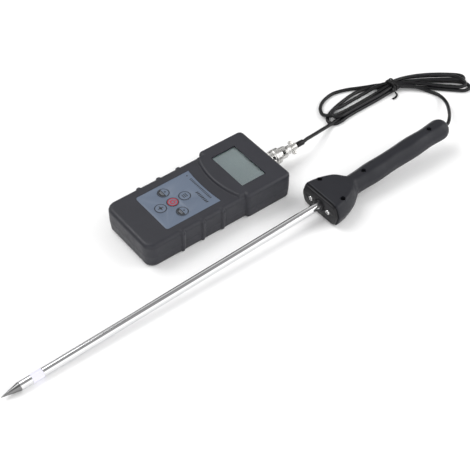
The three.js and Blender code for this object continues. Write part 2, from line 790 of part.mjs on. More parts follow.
function ringClip() {
  const start = lipStart - GAP - CLIP_THICKNESS;
  return turnedX([
    [start, ringBarrel + GAP],
    [start, SOCKET_RADIUS],
    [start + CLIP_THICKNESS, SOCKET_RADIUS],
    [start + CLIP_THICKNESS, ringBarrel + GAP],
  ]);
}

// Behind the ring the shell leaves room for the ring to be screwed back.
function plugShell() {
  const wideStart = ringEnd + RING_TRAVEL + GAP;
  const front = socketFront + GAP;
  const body = turnedX(
    [
      [front, barrelBore],
      [front, ringBarrel],
      [wideStart, ringBarrel],
      [wideStart, BARREL_RADIUS],
      [barrelEnd, BARREL_RADIUS],
      [neckEnd, CLAMP_RADIUS],
      [neckEnd, cordBore],
      [barrelEnd - 1, cordBore],
      [barrelEnd - 2, barrelBore],
    ],
    24,
  );
  const saddle = cut(
    join(
      rodX(CLAMP_RADIUS, neckEnd - 0.5, clampEnd),
      box(neckEnd + 2, clampEnd, -CLAMP_SCREW_SPREAD - 1.6, CLAMP_SCREW_SPREAD + 1.6, -2.6, 0),
    ),
    box(neckEnd + GAP, BIG, -BIG, BIG, -GAP / 2, BIG),
    rodX(cordBore, 0, BIG),
    ...clampScrewPlaces().map(({ x, y }) => rodZ(CLAMP_SCREW_SHAFT / 2 + GAP, -BIG, BIG, x, y, 12)),
  );
  return join(body, saddle);
}

function clampScrewPlaces() {
  const x = (neckEnd + 2 + clampEnd) / 2;
  return [-1, 1].map((side) => ({ x, y: side * CLAMP_SCREW_SPREAD }));
}

function clampSaddle() {
  return cut(
    join(
      rodX(CLAMP_RADIUS - 0.2, neckEnd + 2, clampEnd),
      box(neckEnd + 2, clampEnd, -CLAMP_SCREW_SPREAD - 1.6, CLAMP_SCREW_SPREAD + 1.6, 0, 1.8),
    ),
    box(-BIG, BIG, -BIG, BIG, -BIG, GAP / 2),
    rodX(cordBore, 0, BIG),
    ...clampScrewPlaces().map(({ x, y }) => rodZ(CLAMP_SCREW_SHAFT / 2 + GAP, -BIG, BIG, x, y, 12)),
  );
}

function clampScrew({ x, y }) {
  const under = 1.8 + GAP;
  return cut(
    join(
      rodZ(CLAMP_SCREW_HEAD / 2, under, under + 1.3, x, y, 16),
      rodZ(CLAMP_SCREW_SHAFT / 2, -3.6, under + 0.1, x, y, 12),
    ),
    box(x - 2, x + 2, y - 0.25, y + 0.25, under + 0.8, BIG),
  );
}

function cordSleeve() {
  const start = clampEnd + GAP;
  const outside = cordBore + SLEEVE_WALL;
  return turnedX([
    [start, cordBore],
    [start, outside],
    [start + SLEEVE_LENGTH - 0.6, outside],
    [start + SLEEVE_LENGTH, outside - 0.4],
    [start + SLEEVE_LENGTH, cordBore],
  ]);
}

node("panel_socket", "steel", panelSocket(), plugGroup);
node("socket_nut", "steel", socketNut(), plugGroup);
node("socket_insert", "black_plastic", socketInsert(), plugGroup);
node("plug_insert", "black_plastic", plugInsert(), plugGroup);
node("coupling_ring", "steel", couplingRing(), plugGroup);
node("ring_clip", "steel", ringClip(), plugGroup);
const clampGroup = new THREE.Group();
clampGroup.rotation.x = THREE.MathUtils.degToRad(CLAMP_ROLL);
plugGroup.add(clampGroup);
node("plug_shell", "steel", plugShell(), clampGroup);
node("clamp_saddle", "steel", clampSaddle(), clampGroup);
clampScrewPlaces().forEach((place, i) => node(`clamp_screw_${i + 1}`, "dark_steel", clampScrew(place), clampGroup));
node("cord_sleeve", "cord_jacket", cordSleeve(), plugGroup);

// ---------------------------------------------------------------- probe: rod
// In the probe's own frame X runs from the nose plate's face to the end of the grip, on the rod's line.

const rodRadius = ROD_DIAMETER / 2;
const guardHalf = GUARD_THICKNESS / 2;
const coneBase = -(ROD_LENGTH - CONE_LENGTH);
const collarEndX = coneBase + COLLAR_LENGTH;
const tubeStart = collarEndX + INSULATOR_LENGTH;
const coreRadius = CORE_DIAMETER / 2;
const coreBore = coreRadius + GAP;
const innerSleeveRadius = coreBore + SLEEVE_GAP_WALL;
const CORE_IN_TIP = 8;

// The guard's lower edge and the shoulder of the point touch the surface below.
const tilt = Math.asin((guardHalf - rodRadius) / -coneBase);
probe.rotation.set(0, -tilt, THREE.MathUtils.degToRad(PROBE_YAW), "ZYX");
probe.position.set(PROBE_X, PROBE_Y, guardHalf * Math.cos(tilt) + 0.02);

function probePoint() {
  return turnedX([
    [-ROD_LENGTH, 0],
    [-ROD_LENGTH + 0.4, 0.3],
    [coneBase, rodRadius],
    [collarEndX - GAP, rodRadius],
    [collarEndX - GAP, coreBore],
    [collarEndX - GAP - CORE_IN_TIP, coreBore],
    [collarEndX - GAP - CORE_IN_TIP, 0],
  ]);
}

function insulatorRing() {
  return turnedX([
    [collarEndX, coreBore],
    [collarEndX, rodRadius],
    [tubeStart - GAP, rodRadius],
    [tubeStart - GAP, innerSleeveRadius],
    [tubeStart + SPIGOT_LENGTH, innerSleeveRadius],
    [tubeStart + SPIGOT_LENGTH, coreBore],
  ]);
}

function pipe(x0, x1, inner, outer) {
  return turnedX([
    [x0, inner],
    [x0, outer],
    [x1, outer],
    [x1, inner],
  ]);
}

node("probe_point", "steel", probePoint(), probe);
node("insulator_ring", "white_plastic", insulatorRing(), probe);
node("probe_tube", "steel", pipe(tubeStart, TUBE_IN_HEAD, rodRadius - TUBE_WALL, rodRadius), probe);
node("core_rod", "brass", rodX(coreRadius, collarEndX - CORE_IN_TIP, TUBE_IN_HEAD + CORE_PAST_TUBE, 0, 0, 12), probe);
node(
  "core_sleeve",
  "white_plastic",
  pipe(tubeStart + SPIGOT_LENGTH + GAP, TUBE_IN_HEAD + 2, coreBore, innerSleeveRadius),
  probe,
);

// ---------------------------------------------------------------- probe: handle

const SECTION_POINTS = 20;

// Half the guard's width at x: a shield that narrows into the grip.
function guardWidthAt(x) {
  const share = Math.min(Math.max(x / (GUARD_LENGTH + 4), 0), 1);
  return (GUARD_WIDTH / 2) * Math.sqrt(Math.max(1 - share ** 1.85, 0));
}

function gripWidthAt(x) {
  const wave = GRIP_WAVE * Math.cos((2 * Math.PI * (x - 66)) / GRIP_WAVE_PITCH);
  return GRIP_WIDTH / 2 + (x > GUARD_LENGTH ? wave : 0);
}

// The handle's section at x: half sizes, height of its middle, and how square it is.
function sectionAt(x) {
  const inGuard = x < GUARD_LENGTH;
  const endLeft = Math.max(HANDLE_LENGTH - x, 0);
  const endRound = endLeft < 7 ? Math.sqrt(1 - ((7 - endLeft) / 7) ** 2 * 0.62) : 1;
  const fall = THREE.MathUtils.smoothstep(x, GUARD_LENGTH - 4, GUARD_LENGTH + 2);
  const width = Math.max(guardWidthAt(x), gripWidthAt(x)) * endRound;
  const height = THREE.MathUtils.lerp(guardHalf, GRIP_THICKNESS / 2, fall) * endRound;
  return { width, height, middle: middleAt(x), power: inGuard ? 4 - 1.4 * fall : 2.6 };
}

// The grip rises gently from the guard to its end.
function middleAt(x) {
  const share = Math.max(x - RISE_START, 0) / (HANDLE_LENGTH - RISE_START);
  return HANDLE_RISE * share;
}

function sectionRing(x, inset) {
  const { width, height, middle, power } = sectionAt(x);
  const ring = [];
  for (let i = 0; i < SECTION_POINTS; i++) {
    const turn = (i / SECTION_POINTS) * 2 * Math.PI;
    const c = Math.cos(turn);
    const s = Math.sin(turn);
    const y = Math.sign(c) * Math.abs(c) ** (2 / power) * (width - inset);
    const z = Math.sign(s) * Math.abs(s) ** (2 / power) * (height - inset);
    ring.push(new THREE.Vector3(x, y, z + middle));
  }
  return ring;
}

// A closed skin over a row of rings with the same number of points.
function loft(rings) {
  const n = rings[0].length;
  const points = rings.flat();
  const faces = [];
  for (let k = 0; k + 1 < rings.length; k++) {
    for (let i = 0; i < n; i++) {
      const a = k * n + i;
      const b = k * n + ((i + 1) % n);
      faces.push(a, b, a + n, b, b + n, a + n);
    }
  }
  const last = (rings.length - 1) * n;
  for (let i = 1; i + 1 < n; i++) {
    faces.push(0, i + 1, i, last, last + i, last + i + 1);
  }
  const geometry = new THREE.BufferGeometry().setFromPoints(points);
  geometry.setIndex(faces);
  return solid(geometry);
}

function stations(start, end) {
  const marks = [9, 15, 21, 27, 32, 35, 38, 45];
  for (let x = 55; x < HANDLE_LENGTH - 8; x += 10.75) marks.push(x);
  marks.push(HANDLE_LENGTH - 5, HANDLE_LENGTH - 2.5, HANDLE_LENGTH - 0.8, HANDLE_LENGTH);
  return [start, ...marks.filter((x) => x > start + 0.5 && x < end - 0.5), end];
}

function handleOuter() {
  return loft(stations(HANDLE_FRONT, HANDLE_LENGTH).map((x) => sectionRing(x, 0)));
}

function handleHollow() {
  const start = HANDLE_FRONT - 1;
  const end = HANDLE_LENGTH - 2 * HANDLE_WALL;
  return loft(stations(start, end).map((x) => sectionRing(x, HANDLE_WALL)));
}

// Everything below the line where the two handle shells meet.
function belowParting(drop) {
  const side = new THREE.Shape();
  side.moveTo(-BIG, -drop);
  side.lineTo(RISE_START, -drop);
  side.lineTo(HANDLE_LENGTH + 10, middleAt(HANDLE_LENGTH + 10) - drop);
  side.lineTo(HANDLE_LENGTH + 10, -BIG);
  side.lineTo(-BIG, -BIG);
  side.closePath();
  const slab = new THREE.ExtrudeGeometry(side, { depth: 2 * BIG, bevelEnabled: false });
  slab.rotateX(Math.PI / 2).translate(0, BIG, 0);
  return solid(slab);
}

const nosePlateSection = sectionAt(HANDLE_FRONT);

function nosePlateOutline(x, inset) {
  return sectionRing(HANDLE_FRONT, inset).map((p) => new THREE.Vector3(x, p.y, p.z));
}

function noseSeat() {
  const inset = NOSE_PLATE_INSET - GAP;
  return loft([nosePlateOutline(-1, inset), nosePlateOutline(NOSE_PLATE_THICKNESS + GAP, inset)]);
}

function handleHole() {
  return rodX(BUSH_RADIUS + GAP, HANDLE_LENGTH - 3 * HANDLE_WALL, HANDLE_LENGTH + 5, 0, middleAt(HANDLE_LENGTH));
}

function screwTop({ x, y }) {
  return sectionAt(x).height + middleAt(x) - (Math.abs(y) > 0 ? 0.4 : 0);
}

function handleShell(isTop) {
  const hollowed = cut(handleOuter(), handleHollow(), noseSeat());
  const outer = handleOuter();
  const posts = HANDLE_SCREWS.map(({ x, y }) =>
    rodZ(HANDLE_SCREW_HEAD / 2 + GAP + 1, -guardHalf, guardHalf + HANDLE_RISE + 2, x, y, 16).intersect(outer),
  );
  const bores = HANDLE_SCREWS.map((place) =>
    join(
      rodZ(HANDLE_SCREW_HEAD / 2 + GAP, screwTop(place) - HANDLE_SCREW_DEPTH - 2, BIG, place.x, place.y, 16),
      rodZ(HANDLE_SCREW_SHAFT / 2 + GAP, middleAt(place.x) - 6.5, BIG, place.x, place.y, 12),
    ),
  );
  const whole = cut(
    join(hollowed, ...posts),
    ...bores,
    handleHole(),
    box(-1, NOSE_PLATE_THICKNESS + FLANGE_THICKNESS + 2, -FLANGE_LENGTH / 2 - 1, FLANGE_LENGTH / 2 + 1, -8, 8),
  );
  return isTop ? cut(whole, belowParting(-GAP / 2)) : whole.intersect(belowParting(GAP / 2));
}

function handleScrew(place) {
  const { x, y } = place;
  const top = screwTop(place) - HANDLE_SCREW_DEPTH;
  const seat = top - 2 + GAP;
  return cut(
    join(
      rodZ(HANDLE_SCREW_HEAD / 2, seat, top, x, y, 16),
      rodZ(HANDLE_SCREW_SHAFT / 2, middleAt(x) - 6, seat + 0.1, x, y, 12),
    ),
    crossSlot(x, y, top, HANDLE_SCREW_HEAD, 1),
  );
}

const noseScrewPlaces = [-1, 1].map((side) => (side * NOSE_SCREW_SPREAD) / 2);

function nosePlate() {
  const plate = loft([
    nosePlateOutline(0, NOSE_PLATE_INSET + 1.6),
    nosePlateOutline(0.4, NOSE_PLATE_INSET + 0.6),
    nosePlateOutline(1.4, NOSE_PLATE_INSET),
    nosePlateOutline(NOSE_PLATE_THICKNESS, NOSE_PLATE_INSET),
  ]);
  const boss = rodX(NOSE_BOSS_RADIUS, -NOSE_BOSS_HEIGHT, 1);
  const screwHoles = noseScrewPlaces.flatMap((y) => [
    rodX(NOSE_SCREW_HEAD / 2 + GAP, -5, 2, y, 0, 16),
    rodX(NOSE_SCREW_SHAFT / 2 + GAP, -5, BIG, y, 0, 12),
  ]);
  return cut(join(plate, boss), rodX(rodRadius + GAP, -BIG, BIG), ...screwHoles);
}

function noseScrew(y) {
  const seat = 2 - GAP;
  const front = seat - 1.8;
  return cut(
    join(
      rodX(NOSE_SCREW_HEAD / 2, front, seat, y, 0, 16),
      rodX(NOSE_SCREW_SHAFT / 2, seat - 0.1, seat + 7, y, 0, 12),
    ),
    rodX(1.2, front - 1, front + 1.1, y, 0, 6),
  );
}

// The flange is fixed on the rod's tube behind the nose plate, and the nose screws hold it.
function rodFlange() {
  const start = NOSE_PLATE_THICKNESS + GAP;
  const half = FLANGE_WIDTH / 2;
  const oval = new THREE.Shape();
  oval.absarc(FLANGE_LENGTH / 2 - half, 0, half, -Math.PI / 2, Math.PI / 2);
  oval.absarc(-FLANGE_LENGTH / 2 + half, 0, half, Math.PI / 2, 1.5 * Math.PI);
  oval.closePath();
  const plate = new THREE.ExtrudeGeometry(oval, { depth: FLANGE_THICKNESS, bevelEnabled: false, curveSegments: 8 });
  plate.rotateX(Math.PI / 2).rotateZ(Math.PI / 2).translate(start, 0, 0);
  return cut(
    join(solid(plate), rodX(rodRadius + 2.6, start, TUBE_IN_HEAD - 3)),
    rodX(rodRadius + GAP, -BIG, BIG),
    ...noseScrewPlaces.map((y) => rodX(NOSE_SCREW_SHAFT / 2 + GAP, -BIG, BIG, y, 0, 12)),
  );
}

function sensorBoard() {
  const half = SENSOR_BOARD_WIDTH / 2;
  const middle = middleAt(SENSOR_BOARD_START + SENSOR_BOARD_LENGTH / 2);
  return box(
    SENSOR_BOARD_START,
    SENSOR_BOARD_START + SENSOR_BOARD_LENGTH,
    -half,
    half,
    middle - SENSOR_BOARD_THICKNESS / 2,
    middle + SENSOR_BOARD_THICKNESS / 2,
  );
}

// A rubber bush in the end of the grip, with a collar inside that the shells trap.
function cordBush() {
  const wallInside = HANDLE_LENGTH - 2 * HANDLE_WALL;
  const made = turnedX([
    [wallInside - GAP - 1.5, cordBore],
    [wallInside - GAP - 1.5, BUSH_RADIUS + 1],
    [wallInside - GAP, BUSH_RADIUS + 1],
    [wallInside - GAP, BUSH_RADIUS],
    [wallInside + BUSH_LENGTH, BUSH_RADIUS - 0.6],
    [wallInside + BUSH_LENGTH, cordBore],
  ]);
  return shifted(made, 0, 0, middleAt(HANDLE_LENGTH));
}

node("handle_top_shell", "handle_plastic", handleShell(true), probe);
node("handle_bottom_shell", "handle_plastic", handleShell(false), probe);
HANDLE_SCREWS.forEach((place, i) => node(`handle_screw_${i + 1}`, "dark_steel", handleScrew(place), probe));
node("nose_plate", "nose_plastic", nosePlate(), probe);
noseScrewPlaces.forEach((y, i) => node(`nose_screw_${i + 1}`, "steel", noseScrew(y), probe));
node("rod_flange", "brass", rodFlange(), probe);
node("sensor_board", "board", sensorBoard(), probe);
node("cord_bush", "cord_jacket", cordBush(), probe);

// ---------------------------------------------------------------- cord
// Points on the cord's middle line, chosen by hand: out of the plug to the hank, and from the hank to the grip.

const METER_LEAD = [
  [108, 0, 14.25],
  [118, 0, 14.25],
  [124.2, 0.1, 14.25],
  [128.4, 1.1, 13.9],
  [133, 2.1, 13],
  [139, 3.7, 11.3],
  [146, 5.8, 9.1],
  [153, 8, 6.9],
  [160, 9.9, 4.9],
  [166.5, 11.6, 3.3],
  [172.6, 12.6, 2.4],
];
const PROBE_LEAD = [
  [281.8, -11.2, 1.9],
  [284.1, -17.8, 2.1],
  [283.8, -23.5, 2.7],
  [281.5, -30.2, 4.2],
  [277.4, -37.2, 6.6],
  [271.5, -44.4, 9.8],
  [264.9, -51.6, 13.2],
  [257.8, -58.6, 16.5],
  [252.2, -63.5, 19.1],
  [246.8, -67.8, 20.9],
  [242.4, -70.5, 21.7],
  [238.4, -71.12, 21.73],
  [234, -71.17, 21.6],
  [228, -71.2, 21.44],
];
const HANK_EDGE = [
  [256, 29],
  [236, 38],
  [214, 47],
  [200, 49.5],
  [184, 45],
  [172.5, 34],
  [169.5, 22],
  [174, 11.5],
  [190, 9],
  [222, 9.5],
  [250, 8],
  [265, 3],
  [273, -3.5],
  [278.5, -11.5],
  [284.5, -11.5],
  [294, -20.5],
  [305, -30.5],
  [316, -35.5],
  [323.5, -30],
  [328.5, -16],
  [325, -4],
  [308, 10],
  [286, 21],
  [268, 26.5],
];

function vectors(points) {
  return points.map(([x, y, z]) => new THREE.Vector3(x, y, z));
}

function hank() {
  const outline = new THREE.Shape();
  outline.moveTo(...HANK_EDGE[0]);
  outline.splineThru([...HANK_EDGE.slice(1), HANK_EDGE[0]].map(([x, y]) => new THREE.Vector2(x, y)));
  const geometry = new THREE.ExtrudeGeometry(outline, { depth: HANK_HEIGHT, bevelEnabled: false, curveSegments: 2 });
  const band = box(TIE_X - TIE_WIDTH / 2 - GAP, TIE_X + TIE_WIDTH / 2 + GAP, -BIG, BIG, -1, BIG);
  return cut(
    solid(geometry),
    cut(band, tieCore(GAP)),
    leadNotch(METER_LEAD.at(-1), METER_LEAD.at(-2)),
    leadNotch(PROBE_LEAD[0], PROBE_LEAD[1]),
  );
}

// Room in the hank for the end of a lead that runs from one point towards the other.
function leadNotch([x, y], [toX, toY]) {
  const half = cordRadius + GAP;
  const turn = THREE.MathUtils.radToDeg(Math.atan2(toY - y, toX - x));
  return box(-GAP, 8 * half, -half, half, -1, BIG).rotate([0, 0, turn]).translate([x, y, 0]);
}

function tieCore(shrink) {
  const half = WAIST / 2 - shrink;
  return box(TIE_X - BIG, TIE_X + BIG, TIE_MIDDLE - half, TIE_MIDDLE + half, TIE_THICKNESS + shrink, HANK_HEIGHT);
}

function tie() {
  const half = WAIST / 2 + TIE_THICKNESS;
  const top = HANK_HEIGHT + GAP + TIE_THICKNESS;
  const band = box(TIE_X - TIE_WIDTH / 2, TIE_X + TIE_WIDTH / 2, TIE_MIDDLE - half, TIE_MIDDLE + half, 0, top);
  const hole = box(TIE_X - BIG, TIE_X + BIG, TIE_MIDDLE - WAIST / 2, TIE_MIDDLE + WAIST / 2, TIE_THICKNESS, HANK_HEIGHT + GAP);
  return cut(band, hole);
}

node("cord_meter_lead", "cord_jacket", tubeAlong(vectors(METER_LEAD), cordRadius, 8, 12));
node("cord_probe_lead", "cord_jacket", tubeAlong(vectors(PROBE_LEAD), cordRadius, 8, 20));
node("cord_hank", "cord_jacket", hank());
node("cord_tie", "black_plastic", tie());

export default assembly;
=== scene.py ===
import json
import math

import bpy
import bmesh
from mathutils import Matrix, Vector


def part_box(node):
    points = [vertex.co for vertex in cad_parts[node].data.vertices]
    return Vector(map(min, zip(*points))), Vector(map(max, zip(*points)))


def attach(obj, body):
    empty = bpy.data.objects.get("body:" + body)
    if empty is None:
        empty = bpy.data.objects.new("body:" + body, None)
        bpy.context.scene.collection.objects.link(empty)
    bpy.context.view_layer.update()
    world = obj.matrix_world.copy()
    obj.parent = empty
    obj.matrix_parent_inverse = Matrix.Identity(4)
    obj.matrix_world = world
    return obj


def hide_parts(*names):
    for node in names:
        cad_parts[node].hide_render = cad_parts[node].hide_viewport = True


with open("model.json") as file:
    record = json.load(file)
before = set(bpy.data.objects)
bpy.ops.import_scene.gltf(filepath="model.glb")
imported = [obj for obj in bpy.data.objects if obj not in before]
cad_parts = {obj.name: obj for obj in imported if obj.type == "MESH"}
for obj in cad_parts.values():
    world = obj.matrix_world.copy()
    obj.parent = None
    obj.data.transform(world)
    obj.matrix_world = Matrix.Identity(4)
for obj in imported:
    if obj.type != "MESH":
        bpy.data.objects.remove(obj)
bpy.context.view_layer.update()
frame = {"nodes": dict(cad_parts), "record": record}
ROOT = "meter_and_probe"
MM = 0.001

# ------------------------------------------------------------------ camera

CAMERA_AT = Vector((-0.419877, -0.595196, 0.736795))
CAMERA_LOOKS = Vector((0.42078, 0.54242, -0.72714))
camera_data = bpy.data.cameras.new("camera")
camera_data.lens = 87.47
camera_data.sensor_width = 36
camera_data.clip_start = 0.05
camera = bpy.data.objects.new("camera", camera_data)
camera.location = CAMERA_AT
camera.rotation_euler = CAMERA_LOOKS.to_track_quat("-Z", "Y").to_euler()
bpy.context.scene.collection.objects.link(camera)
bpy.context.scene.camera = camera


# ------------------------------------------------------------------ materials

class Nodes:
    """A small helper that adds and wires shader nodes."""

    def __init__(self, name):
        self.material = bpy.data.materials.new(name)
        self.material.use_nodes = True
        self.tree = self.material.node_tree
        self.shader = self.tree.nodes["Principled BSDF"]
        self.place = self.add("ShaderNodeTexCoord").outputs["Object"]

    def add(self, kind, **values):
        node = self.tree.nodes.new(kind)
        for key, value in values.items():
            if key in node.inputs:
                node.inputs[key].default_value = value
            else:
                setattr(node, key, value)
        return node

    def link(self, out, into):
        self.tree.links.new(out, into)

    def noise(self, scale, detail=3.0, stretch=None):
        """Noise with features of 1/scale metres; stretch scales the axes first."""
        source = self.place
        if stretch:
            mapping = self.add("ShaderNodeMapping")
            mapping.inputs["Scale"].default_value = stretch
            self.link(source, mapping.inputs["Vector"])
            source = mapping.outputs["Vector"]
        node = self.add("ShaderNodeTexNoise", Scale=scale, Detail=detail)
        self.link(source, node.inputs["Vector"])
        return node.outputs["Fac"]

    def spread(self, fac, low, high):
        node = self.add("ShaderNodeMapRange")
        node.inputs["From Min"].default_value = 0.3
        node.inputs["From Max"].default_value = 0.7
        node.inputs["To Min"].default_value = low
        node.inputs["To Max"].default_value = high
        self.link(fac, node.inputs["Value"])
        return node.outputs["Result"]

    def colour(self, fac, dark, light):
        node = self.add("ShaderNodeMix", data_type="RGBA")
        node.inputs[6].default_value = (*dark, 1)
        node.inputs[7].default_value = (*light, 1)
        self.link(fac, node.inputs[0])
        return node.outputs[2]

    def bump(self, fac, strength, distance):
        node = self.add("ShaderNodeBump", Strength=strength, Distance=distance)
        self.link(fac, node.inputs["Height"])
        self.link(node.outputs["Normal"], self.shader.inputs["Normal"])

    def set(self, **values):
        for key, value in values.items():
            self.shader.inputs[key.replace("_", " ")].default_value = value


def plastic(name, colour, rough, grain=2600, grain_depth=0.00002, vary=0.12, specular=0.5):
    """Moulded plastic: fine grain in the surface, faint marbling in the colour and the gloss."""
    n = Nodes(name)
    blotch = n.noise(60, 4)
    light = tuple(c * (1 + vary) for c in colour)
    dark = tuple(c * (1 - vary) for c in colour)
    n.link(n.colour(blotch, dark, light), n.shader.inputs["Base Color"])
    n.link(n.spread(n.noise(220, 5), rough - 0.06, rough + 0.06), n.shader.inputs["Roughness"])
    n.bump(n.noise(grain, 2), 0.35, grain_depth)
    n.set(Specular_IOR_Level=specular)
    return n.material


def metal(name, colour, rough, stretch=(1, 1, 1), scale=900, depth=0.000004, vary=0.06):
    """Bright metal with fine lines where it was turned or drawn."""
    n = Nodes(name)
    lines = n.noise(scale, 3, stretch)
    light = tuple(min(c * (1 + vary), 1) for c in colour)
    dark = tuple(c * (1 - vary) for c in colour)
    n.link(n.colour(lines, dark, light), n.shader.inputs["Base Color"])
    n.link(n.spread(lines, rough * 0.75, rough * 1.3), n.shader.inputs["Roughness"])
    n.bump(lines, 0.3, depth)
    n.set(Metallic=1.0)
    return n.material


looks = {
    "case_plastic": plastic("case_plastic", (0.023, 0.0235, 0.03), 0.44, 1500, 0.00005, 0.16, 0.34),
    "handle_plastic": plastic("handle_plastic", (0.0135, 0.014, 0.0185), 0.44, 1500, 0.00004, 0.16, 0.27),
    "nose_plastic": plastic("nose_plastic", (0.008, 0.008, 0.0095), 0.4, specular=0.3),
    "keypad_film": plastic("keypad_film", (0.108, 0.138, 0.192), 0.42, 4200, 0.000008, 0.04),
    "inner_plastic": plastic("inner_plastic", (0.012, 0.012, 0.013), 0.4),
    "tie_plastic": plastic("tie_plastic", (0.006, 0.006, 0.0065), 0.4, specular=0.3),
    "white_plastic": plastic("white_plastic", (0.74, 0.73, 0.84), 0.32, 1500, 0.000006, 0.03),
    "rubber": plastic("rubber", (0.0055, 0.0055, 0.0065), 0.32, 2000, 0.000002, 0.1, 0.28),
    "board": plastic("board", (0.02, 0.16, 0.07), 0.35, 700, 0.00002, 0.15),
    "cell_wrap": plastic("cell_wrap", (0.03, 0.09, 0.25), 0.3, 500, 0.000006, 0.1),
    "steel": metal("steel", (0.72, 0.72, 0.73), 0.09, (0.02, 1, 1)),
    "chrome": metal("chrome", (0.66, 0.65, 0.63), 0.26, (1, 0.05, 0.05), 1500, 0.000002, 0.04),
    "nickel": metal("nickel", (0.55, 0.54, 0.52), 0.28, (1, 0.05, 0.05), 1500),
    "dark_steel": metal("dark_steel", (0.16, 0.16, 0.17), 0.35),
    "bright_steel": metal("bright_steel", (0.7, 0.7, 0.7), 0.2),
    "cone_steel": metal("cone_steel", (0.2, 0.2, 0.2), 0.2, (1, 0.02, 0.02), 1800, 0.00001, 0.15),
    "brass": metal("brass", (0.6, 0.42, 0.16), 0.3),
    "red_ink": plastic("red_ink", (0.34, 0.022, 0.04), 0.4, 4200, 0.000008, 0.05),
    "dark_ink": plastic("dark_ink", (0.008, 0.0085, 0.011), 0.5, 4200, 0.000008, 0.05),
    "pale_ink": plastic("pale_ink", (0.3, 0.33, 0.38), 0.4, 4200, 0.000008, 0.03),
    # screw_hole: near-black painted shade for the inside of holes, darker than the plastic around them; it also
    # colours the painted shadow in the ring's windows.
    "screw_hole": plastic("screw_hole", (0.006, 0.006, 0.007), 0.7),
}


def display_look():
    """The grey-green reflector behind the liquid crystal, with painted light that makes it a little brighter
    towards one end.
    """
    n = Nodes("display_panel")
    span = n.add("ShaderNodeSeparateXYZ")
    n.link(n.place, span.inputs[0])
    low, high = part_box("display_panel")
    # Painted light: the colour brightens along X across the panel, standing in for light falling on it.
    painted_light_slope = n.add("ShaderNodeMapRange")
    painted_light_slope.inputs["From Min"].default_value = low[0]
    painted_light_slope.inputs["From Max"].default_value = high[0]
    n.link(span.outputs["X"], painted_light_slope.inputs["Value"])
    mix = n.add("ShaderNodeMath", operation="MULTIPLY_ADD")
    mix.inputs[1].default_value = 0.25
    n.link(n.noise(90, 4), mix.inputs[0])
    n.link(painted_light_slope.outputs[0], mix.inputs[2])
    n.link(n.colour(mix.outputs[0], (0.195, 0.238, 0.255), (0.25, 0.295, 0.31)), n.shader.inputs["Base Color"])
    n.link(n.spread(n.noise(400), 0.35, 0.45), n.shader.inputs["Roughness"])
    return n.material


def glass_look():
    n = Nodes("display_glass")
    n.link(n.colour(n.noise(40), (0.93, 0.97, 0.96), (0.97, 1, 0.99)), n.shader.inputs["Base Color"])
    n.link(n.spread(n.noise(150), 0.02, 0.06), n.shader.inputs["Roughness"])
    n.set(Transmission_Weight=1.0, IOR=1.45)
    return n.material


looks["display_panel"] = display_look()
looks["display_glass"] = glass_look()


# ------------------------------------------------------------------ making pieces (all in millimetres)

def to_object(bm, name):
    """Turns a bmesh into an object, with its faces pointing out."""
    bmesh.ops.recalc_face_normals(bm, faces=bm.faces)
    mesh = bpy.data.meshes.new(name)
    bm.to_mesh(mesh)
    bm.free()
    made = bpy.data.objects.new(name, mesh)
    bpy.context.scene.collection.objects.link(made)
    return made


def loft(rings, name="part", closed=False):
    """A skin over rings of points; the end rings are filled unless the row of rings is a loop."""
    bm = bmesh.new()
    made = [[bm.verts.new(p) for p in ring] for ring in rings]
    pairs = list(zip(made, made[1:]))
    if closed:
        pairs.append((made[-1], made[0]))
    count = len(rings[0])
    for a, b in pairs:
        for i in range(count):
            j = (i + 1) % count
            bm.faces.new((a[i], a[j], b[j], b[i]))
    if not closed:
        bm.faces.new(made[0])
        bm.faces.new(made[-1])
    return to_object(bm, name)


def ring_x(x, radius, sides, y=0.0, z=0.0):
    turns = [2 * math.pi * (i + 0.5) / sides for i in range(sides)]
    return [(x, y + radius * math.cos(t), z + radius * math.sin(t)) for t in turns]


def turned_x(profile, name="part", sides=64, y=0.0, z=0.0, hollow=False):
    """A turned piece along X from (x, radius) points; a hollow one is a closed loop of them."""
    return loft([ring_x(x, max(r, 0.02), sides, y, z) for x, r in profile], name, hollow)


def turned_z(profile, name="part", sides=48, x=0.0, y=0.0, hollow=False):
    rings = []
    for z, r in profile:
        turns = [2 * math.pi * i / sides for i in range(sides)]
        rings.append([(x + max(r, 0.02) * math.cos(t), y + max(r, 0.02) * math.sin(t), z) for t in turns])
    return loft(rings, name, hollow)


def rounded_plan(x0, x1, half, low, high, steps=14):
    """Corner points, counter-clockwise, of a rectangle with different radii at its two X ends."""
    points = []
    corners = ((x1 - high, half - high, high, 0), (x0 + low, half - low, low, 1),
               (x0 + low, -half + low, low, 2), (x1 - high, -half + high, high, 3))
    for cx, cy, r, quarter in corners:
        for i in range(steps + 1):
            turn = math.pi / 2 * (quarter + i / steps)
            points.append((cx + r * math.cos(turn), cy + r * math.sin(turn)))
    return points


def block(x0, x1, y0, y1, z0, z1):
    corners = ((x0, y0), (x1, y0), (x1, y1), (x0, y1))
    return loft([[(x, y, z) for x, y in corners] for z in (z0, z1)])


def apply(made):
    """Replaces an object's mesh by what its modifiers make of it."""
    graph = bpy.context.evaluated_depsgraph_get()
    mesh = bpy.data.meshes.new_from_object(made.evaluated_get(graph))
    made.modifiers.clear()
    made.data = mesh
    return made


def copied(made):
    """A second object with its own copy of the mesh."""
    other = made.copy()
    other.data = made.data.copy()
    bpy.context.scene.collection.objects.link(other)
    return other


def boolean(made, other, operation):
    modifier = made.modifiers.new("boolean", "BOOLEAN")
    modifier.operation = operation
    modifier.solver = "MANIFOLD"
    modifier.object = other
    bpy.context.view_layer.update()
    apply(made)
    bpy.data.objects.remove(other)
    return made


def join(made, *others):
    for other in others:
        boolean(made, other, "UNION")
    return made


def cut(made, *others):
    for other in others:
        boolean(made, other, "DIFFERENCE")
    return made


